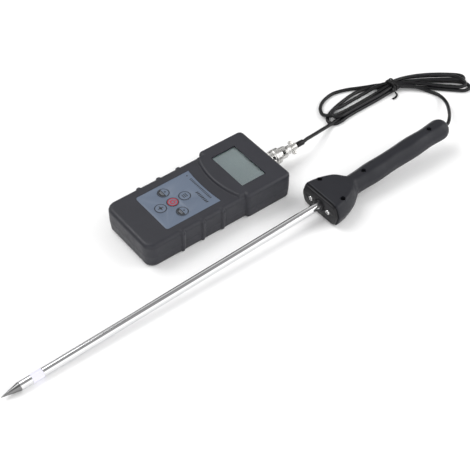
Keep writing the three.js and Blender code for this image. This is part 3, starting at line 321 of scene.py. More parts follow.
def soften(made, voxel, rounds, factor=0.5):
    """Moulded blends: the mesh is rebuilt on a fine grid and its creases are relaxed."""
    remesh = made.modifiers.new("remesh", "REMESH")
    remesh.mode = "VOXEL"
    remesh.voxel_size = voxel
    relax = made.modifiers.new("relax", "SMOOTH")
    relax.iterations = rounds
    relax.factor = factor
    bpy.context.view_layer.update()
    return apply(made)


def thin_out(made, ratio):
    decimate = made.modifiers.new("thin", "DECIMATE")
    decimate.ratio = ratio
    bpy.context.view_layer.update()
    return apply(made)


def bevelled(made, width, segments=2, angle=35):
    bevel = made.modifiers.new("bevel", "BEVEL")
    bevel.width = width
    bevel.segments = segments
    bevel.limit_method = "ANGLE"
    bevel.angle_limit = math.radians(angle)
    bpy.context.view_layer.update()
    return apply(made)


def place(made, name, look, body=ROOT, stands_for=(), matrix=Matrix(), angle=32):
    """Gives a piece its name, finish and body, and turns its millimetres into metres."""
    made.name = name
    made.data.name = name
    made.data.transform(Matrix.Scale(MM, 4) @ matrix)
    if made.type == "MESH":
        made.data.shade_smooth()
        made.data.set_sharp_from_angle(angle=math.radians(angle))
    made.data.materials.clear()
    made.data.materials.append(looks[look])
    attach(made, body)
    if stands_for:
        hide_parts(*stands_for)
    return made


# ------------------------------------------------------------------ cord

CORD_DIAMETER = 3.5
CORD_START = (115.2, 0, 14.25)
# Out of the plug, down to the surface and, by way of the tie, round three loops on each side of it.
CORD_ROUTE = [
    # from the plug
    CORD_START, (118, 0, 14.25), (124.2, 0.1, 14.25), (128.4, 1.1, 13.9), (133, 2.1, 13),
    (139, 3.7, 11.3), (146, 5.8, 9.1), (153, 8, 6.9), (160, 9.9, 4.9), (166.5, 11.6, 3.3),
    (172.6, 12.6, 2.4), (180, 14.2, 1.95), (196, 15.8, 1.9), (214, 16, 1.9), (232, 16.2, 1.95),
    (246, 16.4, 2.5), (256, 16.3, 2.8),
    # right, lowest loop
    (266, 11.4, 2.3), (279, 0, 1.9), (292, -13, 1.9), (303, -24, 1.9), (310, -30.4, 1.9),
    (317, -30.8, 1.9), (319.4, -24.6, 1.9), (314, -15.6, 1.9), (301, -4.6, 1.9), (285, 8.6, 1.9),
    (270, 16.6, 2.3), (256, 19.5, 2.8),
    # left, middle loop
    (245, 25.4, 2.4), (233, 32.4, 1.9), (217, 33.8, 1.9), (198, 31, 1.9), (183.6, 27.2, 1.9),
    (174.2, 22.6, 1.9), (170.6, 16.6, 1.9), (173.6, 11.4, 1.9), (181, 10.2, 1.9), (192, 11.8, 1.9),
    (210, 12.4, 1.9), (230, 12.6, 1.95), (246, 12.9, 2.5), (256, 13.1, 2.8),
    # right, outer loop
    (267, 12.7, 4.2), (280, 7.6, 5.3), (294, -1.2, 5.3), (308, -11.4, 5.3), (317, -17.6, 4.3),
    (322.6, -17, 2.9), (324, -11, 2), (316, -2.4, 1.9), (302, 8.4, 1.9), (288, 16.6, 1.9),
    (275, 21.6, 2), (265, 23.2, 2.5), (256, 22.9, 2.8),
    # left, outer loop
    (245, 29.6, 2.2), (232, 35.8, 1.9), (217, 43, 1.9), (202, 46.8, 1.9), (187, 43.8, 1.9),
    (177.4, 37.2, 1.9), (172.8, 29, 2.6), (173, 23, 4.7), (178, 19.4, 4.4), (190, 19.4, 2.2),
    (210, 19.7, 1.9), (232, 20.2, 2.2), (246, 19.4, 4.4), (256, 18, 5.9),
    # right, upper loop
    (267, 12.4, 5.6), (279, 2.2, 5.3), (291, -10.6, 5.3), (301, -20.2, 5.3), (307.4, -26.2, 5.2),
    (313.8, -27.2, 5.2), (317.2, -21.4, 5.2), (313.4, -10.8, 6.4), (303, 1, 4.4), (290, 10.4, 4.2),
    (274, 18, 5), (256, 21.2, 5.9),
    # left, upper loop
    (244, 25.6, 4.8), (230, 27.4, 2.4), (213, 27.4, 1.9), (197, 26.6, 2), (185.4, 25, 4.6),
    (178.4, 21.2, 5.3), (178.2, 16, 5.2), (184.4, 13.4, 5), (194, 13.8, 4.9), (214, 14.2, 4.9),
    (238, 14.4, 5), (256, 14.8, 5.9),
    # to the grip
    (265, 9, 5.6), (273, 1.6, 4.4), (278.6, -5, 2.5), (281.8, -11.2, 1.9), (284.1, -17.8, 2.1),
    (283.8, -23.5, 2.7), (281.5, -30.2, 4.2), (277.4, -37.2, 6.6), (271.5, -44.4, 9.8),
    (264.9, -51.6, 13.2), (257.8, -58.6, 16.5), (252.2, -63.5, 19.1), (246.8, -67.8, 20.9),
    (242.4, -70.5, 21.7), (238.4, -71.12, 21.73), (234, -71.17, 21.6),
]


def smooth_path(points, per_span=6):
    """Catmull-Rom points through a route."""
    out = []
    knots = [Vector(p) for p in points]
    for i in range(len(knots) - 1):
        a = knots[max(i - 1, 0)]
        b, c = knots[i], knots[i + 1]
        d = knots[min(i + 2, len(knots) - 1)]
        for k in range(per_span):
            t = k / per_span
            out.append(0.5 * (2 * b + (c - a) * t + (2 * a - 5 * b + 4 * c - d) * t * t
                              + (3 * b - 3 * c + d - a) * t ** 3))
    return out + [knots[-1]]


def cord_curve(name, points, radius):
    curve = bpy.data.curves.new(name, "CURVE")
    curve.dimensions = "3D"
    curve.bevel_depth = radius * MM
    curve.bevel_resolution = 6
    curve.use_fill_caps = True
    spline = curve.splines.new("POLY")
    spline.points.add(len(points) - 1)
    for point, at in zip(spline.points, points):
        point.co = (at.x * MM, at.y * MM, at.z * MM, 1)
    spline.use_smooth = True
    made = bpy.data.objects.new(name, curve)
    bpy.context.scene.collection.objects.link(made)
    curve.materials.append(looks["rubber"])
    return made


cord_path = smooth_path(CORD_ROUTE)
cord = cord_curve("cord", cord_path, CORD_DIAMETER / 2)
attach(cord, ROOT)
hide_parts("cord_meter_lead", "cord_probe_lead", "cord_hank")

# ------------------------------------------------------------------ display unit: case

CASE_END, HEAD_END, SHOULDER = -77.5, 77.5, 27.0
BODY_HALF, HEAD_HALF = 34.2, 37.4
BODY_TOP, HEAD_TOP, PARTING = 26.0, 28.5, 12.0
WALL = 2.2
RIB_HALF, RIB_OUT, RIB_PLACES = 2.0, 1.75, (2.2, -19.4, -41.0)
BROW_RADIUS, BROW_REACH = 80.0, 11.4
CONNECTOR_Z = 14.25
KEYPAD_X0, KEYPAD_X1, KEYPAD_HALF = -50.9, 7.1, 24.1
KEYPAD_CORNER, KEYPAD_SAG = 2.6, 1.7
DISPLAY_X0, DISPLAY_X1, DISPLAY_HALF = 32.2, 58.8, 23.1
FAR = 200.0


def quarter(radius, base, rise, steps=8, flat=1.0):
    """(inset, z) of a rounded rim that starts at height base and rises by rise."""
    turns = [math.pi / 2 * i / steps for i in range(steps + 1)]
    return [(radius * flat * (1 - math.cos(t)), base + rise * math.sin(t)) for t in turns]


def stacked(plan_at, levels):
    return loft([[(x, y, z) for x, y in plan_at(inset)] for inset, z in levels])


BACK_RIM = [(2.8, 0), (1.9, 0.3), (1.3, 0.9), (0.9, 1.9)]


def body_plan(inset):
    return rounded_plan(CASE_END + inset, 45, BODY_HALF - inset, 10 - inset * 0.9, 3)


def head_plan(inset):
    return rounded_plan(SHOULDER + inset, HEAD_END - inset, HEAD_HALF - inset, max(4.2 - inset, 0.5), 5 - inset)


def rib(x):
    def plan(inset):
        half = RIB_HALF - inset * 0.25
        return rounded_plan(x - half, x + half, BODY_HALF + RIB_OUT - inset, 1.2, 1.2, 4)
    return stacked(plan, [(1.9, 0.5), (1.3, 1.9)] + quarter(3.7, BODY_TOP - 3.7, 3.75))


def brow():
    half = BODY_HALF - 1.8
    plan = stacked(lambda i: rounded_plan(0, 45, half - i, 3, 3),
                   [(0, 14)] + quarter(3.4, HEAD_TOP - 3.4, 3.4))
    turns = [math.pi / 2 * i / 8 for i in range(9)]
    rim = [(HEAD_TOP - 3.2 * (1 - math.sin(t)), BROW_RADIUS - 2.6 * (1 - math.cos(t))) for t in turns]
    above = [(HEAD_TOP + 1, BROW_RADIUS - 2.6), (HEAD_TOP + 1, 0)]
    disc = turned_z([(13, 0), (13, BROW_RADIUS)] + rim + above, sides=360,
                    x=SHOULDER - BROW_REACH + BROW_RADIUS)
    return boolean(plan, disc, "INTERSECT")


def keypad_plan(grow, steps=10):
    """The keypad's outline: its upper edge is a hollow arc."""
    x0, x1, half = KEYPAD_X0 - grow, KEYPAD_X1 + grow, KEYPAD_HALF + grow
    r = KEYPAD_CORNER
    points = []
    for i in range(25):
        y = -half + 2 * half * i / 24
        points.append((x1 - KEYPAD_SAG * (1 - (y / half) ** 2), y))
    for sign, first in ((1, 0), (-1, 1)):
        for i in range(steps + 1):
            t = math.pi / 2 * (i / steps + first) + math.pi / 2
            points.append((x0 + r + r * math.cos(t), sign * (half - r) + r * math.sin(t)))
    return points


def prism(points, z0, z1):
    return loft([[(x, y, z) for x, y in points] for z in (z0, z1)])


def socket_hole():
    return turned_x([(HEAD_END - 6, 6.1), (HEAD_END + 3, 6.1)], y=0, z=CONNECTOR_Z)


case = stacked(body_plan, BACK_RIM + [(0, PARTING)] + quarter(3.8, BODY_TOP - 3.8, 3.8))
join(case, stacked(head_plan, BACK_RIM + [(0, PARTING)] + quarter(3.6, HEAD_TOP - 3.6, 3.6)), brow(),
     *[rib(x) for x in RIB_PLACES])
soften(case, 0.42, 5)
hollow = stacked(lambda i: rounded_plan(CASE_END + WALL + 1, 45, BODY_HALF - WALL - 1.4, 7, 3),
                 [(0, WALL), (0, 21.4)])
join(hollow, block(SHOULDER + WALL + 1, HEAD_END - WALL - 1, -HEAD_HALF + 3.4, HEAD_HALF - 3.4,
                   WALL + 0.1, 25.0))
cut(case, hollow, socket_hole())

# The back shell, with its battery bay and the door's opening, as the CAD has them.
back = copied(case)
cut(back, block(-FAR, FAR, -FAR, FAR, PARTING - 0.06, FAR))
bay_x0, bay_x1, bay_half, bay_top = -68.5, -18.0, 22.0, 13.5
bay_walls = block(bay_x0 - 1.5, bay_x1 + 1.5, -bay_half - 1.3, bay_half + 1.3, 1.7, 15.0)
join(back, bay_walls, block(CASE_END + 3, -13.6, -26.5, 26.5, 1.2, 3.7))
door_x1, door_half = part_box("battery_door")[1][0] / MM, 22.9
cut(back, block(bay_x0, bay_x1, -bay_half, bay_half, -1, bay_top),
    block(-FAR, door_x1 + 0.3, -door_half - 0.3, door_half + 0.3, -1, 2.5),
    block(-FAR, door_x1 + 0.3, -door_half - 1.4, door_half + 1.4, 0.4, 1.8))
CASE_SCREWS = [(x, side * y) for x, y in ((-65.5, 28.3), (68.5, 29.3)) for side in (-1, 1)]
for x, y in CASE_SCREWS:
    cut(back, turned_z([(-1, 2.5), (5, 2.5)], x=x, y=y, sides=24))

cut(case, block(-FAR, FAR, -FAR, FAR, -FAR, PARTING + 0.06),
    prism(keypad_plan(0.18), 23.0, FAR),
    block(DISPLAY_X0, DISPLAY_X1, -DISPLAY_HALF, DISPLAY_HALF, 20, FAR),
    block(29.5, 61.5, -25.8, 25.8, 20, 27.05))
place(thin_out(case, 0.5), "case_front", "case_plastic", stands_for=["front_shell"], angle=40)
place(thin_out(back, 0.5), "case_back", "case_plastic", stands_for=["back_shell"], angle=40)

door = stacked(lambda i: rounded_plan(CASE_END + i, door_x1, door_half, 6.0, 0.4),
               [(2.4, 0), (1.8, 0.3), (1.4, 2.2)])
join(door, block(CASE_END + 9, door_x1 - 0.2, -door_half - 1.05, door_half + 1.05, 0.75, 1.45))
for i in range(6):
    x = CASE_END + 9 + 2.1 * i
    half = 11 - abs(i - 2.5) * 1.2
    cut(door, block(x, x + 0.9, -half, half, -1, 0.5))
place(bevelled(door, 0.15), "battery_cover", "case_plastic", "battery_door", ["battery_door"])


def cross_screw(name, x, y, z, radius, down, matrix=Matrix()):
    """A pan head with a cross in it, at z on its outer face; down is -1 where it faces down."""
    profile = [(0, radius * 0.6), (-0.12 * down, radius * 0.86), (-0.4 * down, radius), (-1.6 * down, radius)]
    head = turned_z(profile, x=x, y=y, sides=32)
    head.data.transform(Matrix.Translation((0, 0, z)))
    reach, half = radius * 0.62, radius * 0.14
    deep = sorted((z + 0.4 * down, z - radius * 0.42 * down))
    cut(head, block(x - reach, x + reach, y - half, y + half, *deep),
        block(x - half, x + half, y - reach, y + reach, *deep))
    return place(head, name, "dark_steel", matrix=matrix)


for i, (x, y) in enumerate(CASE_SCREWS):
    cross_screw("case_screw_head_%d" % (i + 1), x, y, 3.0, 2.2, -1)

# ------------------------------------------------------------------ display unit: keypad and display

KEYS = {"power": (-27.5, 0.0), "up": (-14.5, 0.0), "down": (-40.5, 0.0), "left": (-27.5, 14.4),
        "right": (-27.5, -14.4)}
KEY_TOP = 26.4

film = prism(keypad_plan(0), 25.4, 25.95)
for x, y in KEYS.values():
    cut(film, turned_z([(20, 5.72), (30, 5.72)], x=x, y=y, sides=64))
place(bevelled(film, 0.12), "keypad_film", "keypad_film", stands_for=["keypad_overlay"])
place(prism(keypad_plan(-0.6), 24.3, 24.85), "keypad_backing", "dark_ink",
      stands_for=["keypad_spacer"])


def ink(points, z0=KEY_TOP - 0.16, z1=KEY_TOP + 0.02):
    return prism(points, z0, z1)


def disc_points(x, y, radius, start=0.0, end=360.0, steps=40):
    turns = [math.radians(start + (end - start) * i / steps) for i in range(steps + (end - start < 360))]
    return [(x + radius * math.cos(t), y + radius * math.sin(t)) for t in turns]


def arc_band(x, y, outer, inner, start, end, steps=36):
    turns = [math.radians(start + (end - start) * i / steps) for i in range(steps + 1)]
    rim = [(x + outer * math.cos(t), y + outer * math.sin(t)) for t in turns]
    return ink(rim + [(x + inner * math.cos(t), y + inner * math.sin(t)) for t in reversed(turns)])


def bar(x, y, long, wide, turn=0.0):
    c, s = math.cos(math.radians(turn)), math.sin(math.radians(turn))
    corners = ((-long / 2, -wide / 2), (long / 2, -wide / 2), (long / 2, wide / 2), (-long / 2, wide / 2))
    return ink([(x + a * c - b * s, y + a * s + b * c) for a, b in corners])


def print_on(key, name, look, *inks):
    """Printed marks that ride on a key, each a thin closed plate."""
    first, *rest = inks
    for other in rest:
        join(first, other)
    place(first, "print_%s_%s" % (key, name), look, "key_" + key)


for key, (x, y) in KEYS.items():
    cap = turned_z([(25.3, 0), (25.3, 5.45), (25.85, 5.45), (26.08, 5.3), (26.2, 5.0), (26.27, 4.4),
                    (KEY_TOP - 0.02, 0)], x=x, y=y, sides=72)
    place(cap, "keycap_" + key, "keypad_film", "key_" + key, ["key_" + key], angle=50)
    print_on(key, "ring", "dark_ink", ink(disc_points(x, y, 5.3), 25.9, 26.24))
    inner = turned_z([(25.95, 4.75), (26.26, 4.75), (26.3, 4.4), (KEY_TOP - 0.04, 0.0)], x=x, y=y, sides=72)
    place(inner, "print_%s_face" % key, "keypad_film", "key_" + key, angle=50)

x, y = KEYS["power"]
print_on("power", "mark", "red_ink", arc_band(x, y, 2.6, 1.3, 35, 325), bar(x + 2.0, y, 2.4, 1.1))
print_on("power", "edge", "red_ink", arc_band(x, y, 4.75, 3.9, 0, 359.9))
x, y = KEYS["up"]
print_on("up", "mark", "dark_ink", *[bar(x + dx, y, 0.7, 4.2) for dx in (-1.7, 0, 1.7)])
x, y = KEYS["down"]
print_on("down", "mark", "dark_ink", ink(disc_points(x, y, 1.3)), bar(x, y, 5.6, 0.6), bar(x, y, 0.6, 5.6))
for key in ("left", "right"):
    x, y = KEYS[key]
    print_on(key, "half", "dark_ink", ink(disc_points(x, y, 4.55, 90, 270), KEY_TOP - 0.2, KEY_TOP - 0.02))
    print_on(key, "bar", "pale_ink", bar(x - 2.3, y, 0.34, 4.6), bar(x - 1.2, y, 0.34, 5.6))
    print_on(key, "arrow", "dark_ink", ink([(x + 3.0, y), (x + 1.2, y - 1.0), (x + 1.2, y + 1.0)]))
place(turned_z([(25.9, 0.75), (25.99, 0.7)], x=2.2, y=19.5, sides=24), "keypad_dot", "dark_ink")
# Two plain rows of short strokes where the real film is printed:
# where a row lies, a stroke's length, width and lean, the pitch, the first stroke and their number.
STROKE_ROWS = ((1.2, 2.3, 0.85, 0, 1.75, 13.6, 18), (-4.6, 2.6, 1.2, -0.7, 2.1, -3.4, 8))
strokes = [ink([(x0, y0), (x0 + high, y0 + lean), (x0 + high, y0 + lean + wide), (x0, y0 + wide)], 25.9, 25.985)
           for x0, high, wide, lean, pitch, first, count in STROKE_ROWS
           for y0 in [first - pitch * i for i in range(count)]]
place(join(*strokes), "keypad_strokes", "dark_ink")


def display_block(grow, z0, z1):
    """A plate with the display's outline, larger by grow on each side."""
    return block(DISPLAY_X0 - grow, DISPLAY_X1 + grow, -DISPLAY_HALF - grow, DISPLAY_HALF + grow, z0, z1)


def window_mask():
    return cut(display_block(1, 25.55, 25.7), display_block(-0.2, 25, 26))


place(window_mask(), "display_mask", "inner_plastic")
place(display_block(0.6, 26.2, 26.5), "display_face", "display_panel")
glass = block(29.7, 61.3, -25.6, 25.6, 26.6, 27.0)
place(glass, "display_glass", "display_glass", stands_for=["display_window"])

# ------------------------------------------------------------------ connector

RING_X = 79.6
CLAMP_SCREW_X, CLAMP_SCREW_Y = 109.9, 5.2
CORD_BORE = 2.05
Z = CONNECTOR_Z


def knurl(x0, x1, radius, teeth, depth, phase=0.0):
    """A ring of small straight teeth along X."""
    sides = teeth * 4
    rings = []
    for x, drop in ((x0, depth), (x0 + 0.5, 0), (x1 - 0.5, 0), (x1, depth)):
        ring = []
        for i in range(sides):
            t = 2 * math.pi * (i / sides) + phase
            r = radius - (depth if i % 4 in (0, 3) else 0) - drop
            ring.append((x, r * math.cos(t), Z + r * math.sin(t)))
        rings.append(ring)
    return loft(rings)


socket = turned_x([(66, 5.2), (77.8, 5.2), (77.8, 7.3), (78.1, 7.6), (79.0, 7.6), (79.3, 7.3), (79.3, 5.8)]
                  + [(79.5 + 0.375 * i, 5.8 if i % 2 else 5.35) for i in range(23)] + [(88.2, 4.9), (66, 4.9)],
                  z=Z, sides=64, hollow=True)
place(socket, "socket_body", "nickel", stands_for=["panel_socket"], angle=50)

RING_END = RING_X + 13.3
ring = turned_x([(RING_X, 6.7), (RING_X + 0.5, 7.1), (RING_END - 6.7, 7.1), (RING_END - 6.3, 7.4),
                 (RING_END - 5.9, 7.7), (RING_END - 4.2, 7.7), (RING_END - 4.0, 7.4), (RING_END - 3.4, 7.4),
                 (RING_END - 3.2, 7.7), (RING_END - 0.5, 7.7), (RING_END, 7.2)], z=Z, sides=96)
join(ring, knurl(RING_X + 0.6, RING_X + 2.4, 7.5, 32, 0.35))
for i in range(4):
    window = block(RING_X + 3.0, RING_X + 6.0, -1.5, 1.5, 6.2, 9)
    join(window, block(RING_X + 4.4, RING_X + 6.0, -3.4, 1.5, 6.2, 9))
    window.data.transform(Matrix.Translation((0, 0, Z)) @ Matrix.Rotation(math.radians(45 + 90 * i), 4, "X"))
    cut(ring, window)
cut(ring, turned_x([(RING_X - 1, 6.1), (RING_END - 1.6, 6.1)], z=Z),
    turned_x([(RING_END - 2, 5.3), (RING_END + 1, 5.3)], z=Z))
place(ring, "coupling_ring_knurled", "chrome", "coupling_ring", ["coupling_ring"], angle=28)
# A painted shadow: a near-black sleeve inside the ring, seen through its windows where there is only shade.
painted_shade_sleeve = [(RING_X + 2.5, 6.6), (RING_X + 6.5, 6.6), (RING_X + 6.5, 6.15), (RING_X + 2.5, 6.15)]
place(turned_x(painted_shade_sleeve, z=Z, hollow=True), "ring_shadow", "screw_hole", "coupling_ring")

clamp_turn = Matrix.Translation((0, 0, Z)) @ Matrix.Rotation(math.radians(45), 4, "X")
sleeve = turned_x([(88.6, 4.4), (88.6, 5.0), (93.2, 5.0), (93.2, 5.6), (93.5, 5.9), (100.0, 5.9), (100.3, 5.7),
                   (103.6, 4.5), (104.4, 4.4), (105.6, 4.4), (105.8, 4.2), (105.8, CORD_BORE), (99, CORD_BORE),
                   (98, 4.4)], sides=72, hollow=True)
cut(sleeve, block(95.0, 98.4, -1.7, 1.7, 3.2, 8), block(98.3, 106, -0.28, 0.28, 3.2, 8))


def ear(y, z0, z1):
    """One ear of the cord clamp: a small plate with a round end."""
    plate = turned_z([(z0, 1.75), (z1, 1.75)], x=CLAMP_SCREW_X, y=y, sides=32)
    inner = block(108.15, 111.65, *sorted((y, y * 0.4)), z0, z1)
    return join(plate, inner)


def clamp_half(start, ears, away):
    """Half of the cord clamp with its two ears; away is the side of the split that goes."""
    half = turned_x([(start, 3.5), (113.4, 3.5), (113.8, 3.2)], sides=48)
    join(half, ear(-CLAMP_SCREW_Y, *ears), ear(CLAMP_SCREW_Y, *ears))
    return cut(half, block(100, 120, -9, 9, *away), turned_x([(90, CORD_BORE), (120, CORD_BORE)]))


lower = clamp_half(105.4, (-1.3, 0), (-0.15, 9))
upper = clamp_half(106.4, (0.2, 1.4), (-9, 0.15))
join(sleeve, lower)
for made, name, node in ((sleeve, "plug_barrel", "plug_shell"), (upper, "clamp_half", "clamp_saddle")):
    place(bevelled(made, 0.12), name, "chrome", stands_for=[node], matrix=clamp_turn)
for i, y in enumerate((-CLAMP_SCREW_Y, CLAMP_SCREW_Y)):
    screw = turned_z([(-3.4, 0.7), (-2.5, 0.8), (-2.5, 1.4), (-1.35, 1.4), (-1.35, 0.8), (1.45, 0.8),
                      (1.45, 1.4), (2.3, 1.4), (2.6, 1.0)], x=CLAMP_SCREW_X, y=y, sides=24)
    cut(screw, block(108, 112, y - 0.22, y + 0.22, 2.2, 5))
    place(screw, "clamp_bolt_%d" % (i + 1), "nickel", stands_for=["clamp_screw_%d" % (i + 1)],
          matrix=clamp_turn)
boot = turned_x([(114.1, 2.0), (114.1, 2.6), (114.4, 2.75), (122.5, 2.7), (123.1, 2.4), (123.1, 1.9)],
                z=Z, sides=40, hollow=True)
place(boot, "plug_boot", "rubber", stands_for=["cord_sleeve"])

# ------------------------------------------------------------------ probe

TUBE_START, COLLAR_END, CONE_BASE, TIP = -289.5, -299.7, -310.5, -327.48
GUARD_HALF, ROD_RADIUS = 12.5, 4.0
PROBE_X, PROBE_Y, PROBE_YAW = 81.1, -72.1, 0.35
# The probe rests on the guard's lower edge and on the shoulder of the point.
TILT = math.asin((GUARD_HALF - ROD_RADIUS) / -CONE_BASE)
PROBE = (Matrix.Translation((PROBE_X, PROBE_Y, GUARD_HALF * math.cos(TILT) + 0.02))
         @ Matrix.Rotation(math.radians(PROBE_YAW), 4, "Z") @ Matrix.Rotation(-TILT, 4, "Y"))


def on_probe(made, name, look, stands_for=(), angle=32):
    return place(made, name, look, stands_for=stands_for, matrix=PROBE, angle=angle)


cone = [(TIP, 0.0), (TIP + 0.4, 0.3)]
for i in range(1, 16):
    x = TIP + 0.4 + (CONE_BASE - TIP - 0.4) * i / 16
    r = 0.3 + 3.65 * i / 16
    cone += [(x - 0.25, r - 0.1), (x, r + 0.02)]
cone += [(CONE_BASE - 0.15, 3.9), (CONE_BASE - 0.05, 3.82), (CONE_BASE + 0.1, 3.82)]
on_probe(turned_x(cone), "probe_cone", "cone_steel", stands_for=["probe_point"], angle=60)
on_probe(turned_x([(CONE_BASE + 0.1, 3.8), (CONE_BASE + 0.25, ROD_RADIUS), (COLLAR_END - 0.2, ROD_RADIUS),
                   (COLLAR_END - 0.05, 3.85)]), "probe_collar", "steel")
on_probe(turned_x([(COLLAR_END, 1.9), (COLLAR_END, 3.9), (COLLAR_END + 0.15, ROD_RADIUS),
                   (TUBE_START - 0.2, ROD_RADIUS), (TUBE_START - 0.1, 3.9), (TUBE_START - 0.1, 1.9)],
                  hollow=True), "insulating_ring", "white_plastic",
         stands_for=["insulator_ring"])
tube = [(TUBE_START, 3.1), (TUBE_START, 3.85), (TUBE_START + 0.2, ROD_RADIUS), (20, ROD_RADIUS), (20, 3.1)]
on_probe(turned_x(tube, hollow=True, sides=96), "steel_tube", "steel", stands_for=["probe_tube"])

# ------------------------------------------------------------------ handle

HANDLE_END, RISE_START, RISE = 156.0, 28.0, 4.9
SHELL_FRONT, END_ROUND, NOSE_SCREW_Y = 2.6, 9, 11.3


def smoothstep(a, b, x):
    t = min(max((x - a) / (b - a), 0.0), 1.0)
    return t * t * (3 - 2 * t)


def mix(a, b, t):
    return a + (b - a) * t


def middle_at(x):
    return RISE * max(x - RISE_START, 0) / (HANDLE_END - RISE_START)


def handle_ring(x, inset=0.0, count=96):
    """The handle's section: a flat hexagon at the guard that turns into the grip's soft octagon."""
    guard = 26.0 * math.sqrt(max(1 - (min(max(x, 0) / 40.5, 1)) ** 1.9, 0))
    wave = 0.5 * math.cos(2 * math.pi * (x - 66) / 43)
    swell = 0.35 * math.cos(2 * math.pi * (x - 58) / 30) * smoothstep(50, 60, x)
    grip = 10.05 + wave
    width = (guard ** 8 + grip ** 8) ** (1 / 8)
    t = smoothstep(27, 42, x)
    left = max(HANDLE_END - x, 0.0)
    end = math.sqrt(max(1 - (max(END_ROUND - left, 0) / END_ROUND) ** 2.2 * 0.62, 0.05))
    width = (width - inset) * end
    top = (mix(GUARD_HALF, 9.9 + swell * 0.6, t) - inset) * end
    tip_in = 1 - 0.035 * smoothstep(4, 0, x)
    width, top = width * tip_in, top * tip_in
    lean = math.radians(mix(24, 45, t))
    slant = mix(width * math.cos(lean), (width + top) / 2 * 0.985, t)
    faces = [(0, mix(width * 1.06, width, t)), (180, mix(width * 1.06, width, t)), (90, top), (270, top)]
    faces += [(math.degrees(a), slant) for a in (lean, math.pi - lean, math.pi + lean, -lean)]
    power = mix(15, 11, t)
    ring = []
    for i in range(count):
        turn = 2 * math.pi * i / count
        # more points where the section is widest
        angle = math.atan2(math.sin(turn) * top, math.cos(turn) * width)
        total = sum(max(math.cos(angle - math.radians(f)) / d, 0) ** power for f, d in faces)
        r = total ** (-1 / power)
        ring.append((x, r * math.cos(angle), r * math.sin(angle) + middle_at(x)))
    return ring


def stations(x0, x1):
    """Where the handle's sections are taken: closer together at its two ends."""
    marks = [x0, x0 + 0.15, x0 + 0.5, x0 + 1.0, x0 + 2.0]
    marks += [x0 + 3.5 + 1.5 * i for i in range(int((x1 - END_ROUND - x0 - 3.5) / 1.5))]
    marks += [x1 - END_ROUND * (1 - math.sin(math.pi / 2 * i / 12)) for i in range(13)]
    return sorted(set(round(m, 4) for m in marks))


def handle_solid():
    rings = []
    for x in stations(SHELL_FRONT, HANDLE_END):
        edge = max(0.5 - (x - SHELL_FRONT), 0)
        rings.append(handle_ring(x, edge * 0.8))
    return loft(rings)


handle = handle_solid()
cut(handle, loft([handle_ring(x, 2.2) for x in [1.0] + [3.0 + 3 * i for i in range(51)]]))
seat_ring = handle_ring(SHELL_FRONT, 1.1)
cut(handle, loft([[(x, y, z) for _, y, z in seat_ring] for x in (-1, 3.8)]),
    block(-1, 11, -16.5, 16.5, -8, 8),
    turned_x([(146, 3.9), (165, 3.9)], z=middle_at(HANDLE_END)))
HANDLE_SCREWS = [(13.8, 15.6), (13.8, -15.6), (52.8, 0), (134.9, 0)]


def handle_top(x, y):
    """The height of the handle's upper face at a screw."""
    return (GUARD_HALF if x < 30 else 9.95) + middle_at(x) - (0.4 if y else 0)


for x, y in HANDLE_SCREWS:
    z = handle_top(x, y)
    post = turned_z([(z - 8, 3.5), (z - 0.9, 3.5)], x=x, y=y, sides=32)
    join(handle, post)
    cut(handle, turned_z([(z - 5.2, 2.4), (z + 3, 2.4)], x=x, y=y, sides=40))


def parting_block(offset):
    """What lies below the line where the two shells meet."""
    side = [(-5, -FAR), (FAR, -FAR), (FAR, middle_at(FAR) + offset), (RISE_START, offset), (-5, offset)]
    return loft([[(x, y, z) for x, z in side] for y in (-60, 60)])


lower_half = copied(handle)
boolean(lower_half, parting_block(-0.05), "INTERSECT")
cut(handle, parting_block(0.05))
on_probe(handle, "handle_upper", "handle_plastic", ["handle_top_shell"], angle=45)
on_probe(lower_half, "handle_lower", "handle_plastic", ["handle_bottom_shell"], angle=45)
for i, (x, y) in enumerate(HANDLE_SCREWS):
    z = handle_top(x, y) - 3.5
    cross_screw("handle_screw_head_%d" % (i + 1), x, y, z, 2.1, 1, matrix=PROBE)

nose = loft([[(x, y, z) for _, y, z in handle_ring(SHELL_FRONT, inset)] for x, inset in
             ((0, 2.6), (0.15, 2.1), (0.5, 1.7), (1.1, 1.45), (3.5, 1.45))])
join(nose, turned_x([(-2.0, 5.6), (-1.7, 6.2), (-1.2, 6.4), (1, 6.4)], sides=64))
cut(nose, turned_x([(-5, 4.15), (9, 4.15)], sides=64))
for y in (-NOSE_SCREW_Y, NOSE_SCREW_Y):
    cut(nose, turned_x([(-5, 3.1), (1.2, 3.1)], y=y, sides=40), turned_x([(-5, 1.5), (9, 1.5)], y=y, sides=24))
on_probe(bevelled(nose, 0.2), "nose_cover", "nose_plastic", ["nose_plate"], angle=40)
for i, y in enumerate((-NOSE_SCREW_Y, NOSE_SCREW_Y)):
    head = turned_x([(-0.75, 0), (-0.75, 1.9), (-0.5, 2.4), (-0.1, 2.6), (1.2, 2.6), (1.2, 1.2), (8, 1.2)],
                    y=y, sides=40)
    reach, half = 1.6, 0.38
    cut(head, block(-2, 0.3, y - reach, y + reach, -half, half),
        block(-2, 0.3, y - half, y + half, -reach, reach))
    on_probe(head, "nose_bolt_%d" % (i + 1), "bright_steel", ["nose_screw_%d" % (i + 1)])

bush = turned_x([(149.9, 1.9), (149.9, 4.5), (151.3, 4.5), (151.3, 3.6), (155.6, 3.6), (156.6, 3.0),
                 (156.6, 1.9)],
                z=middle_at(HANDLE_END), sides=40, hollow=True)
on_probe(bush, "grip_bush", "rubber", ["cord_bush"])

# ------------------------------------------------------------------ tie

TIE_PATH = [(0, -6.9, 5.2), (0, -6.3, 7.7), (0, -3.5, 8.5), (0, 0, 8.7), (0, 3.5, 8.5), (0, 6.3, 7.7),
            (0, 6.9, 5.2), (0, 6.6, 2.2), (0, 5.2, 0.75), (0, 0, 0.6), (0, -5.2, 0.75), (0, -6.6, 2.2)]


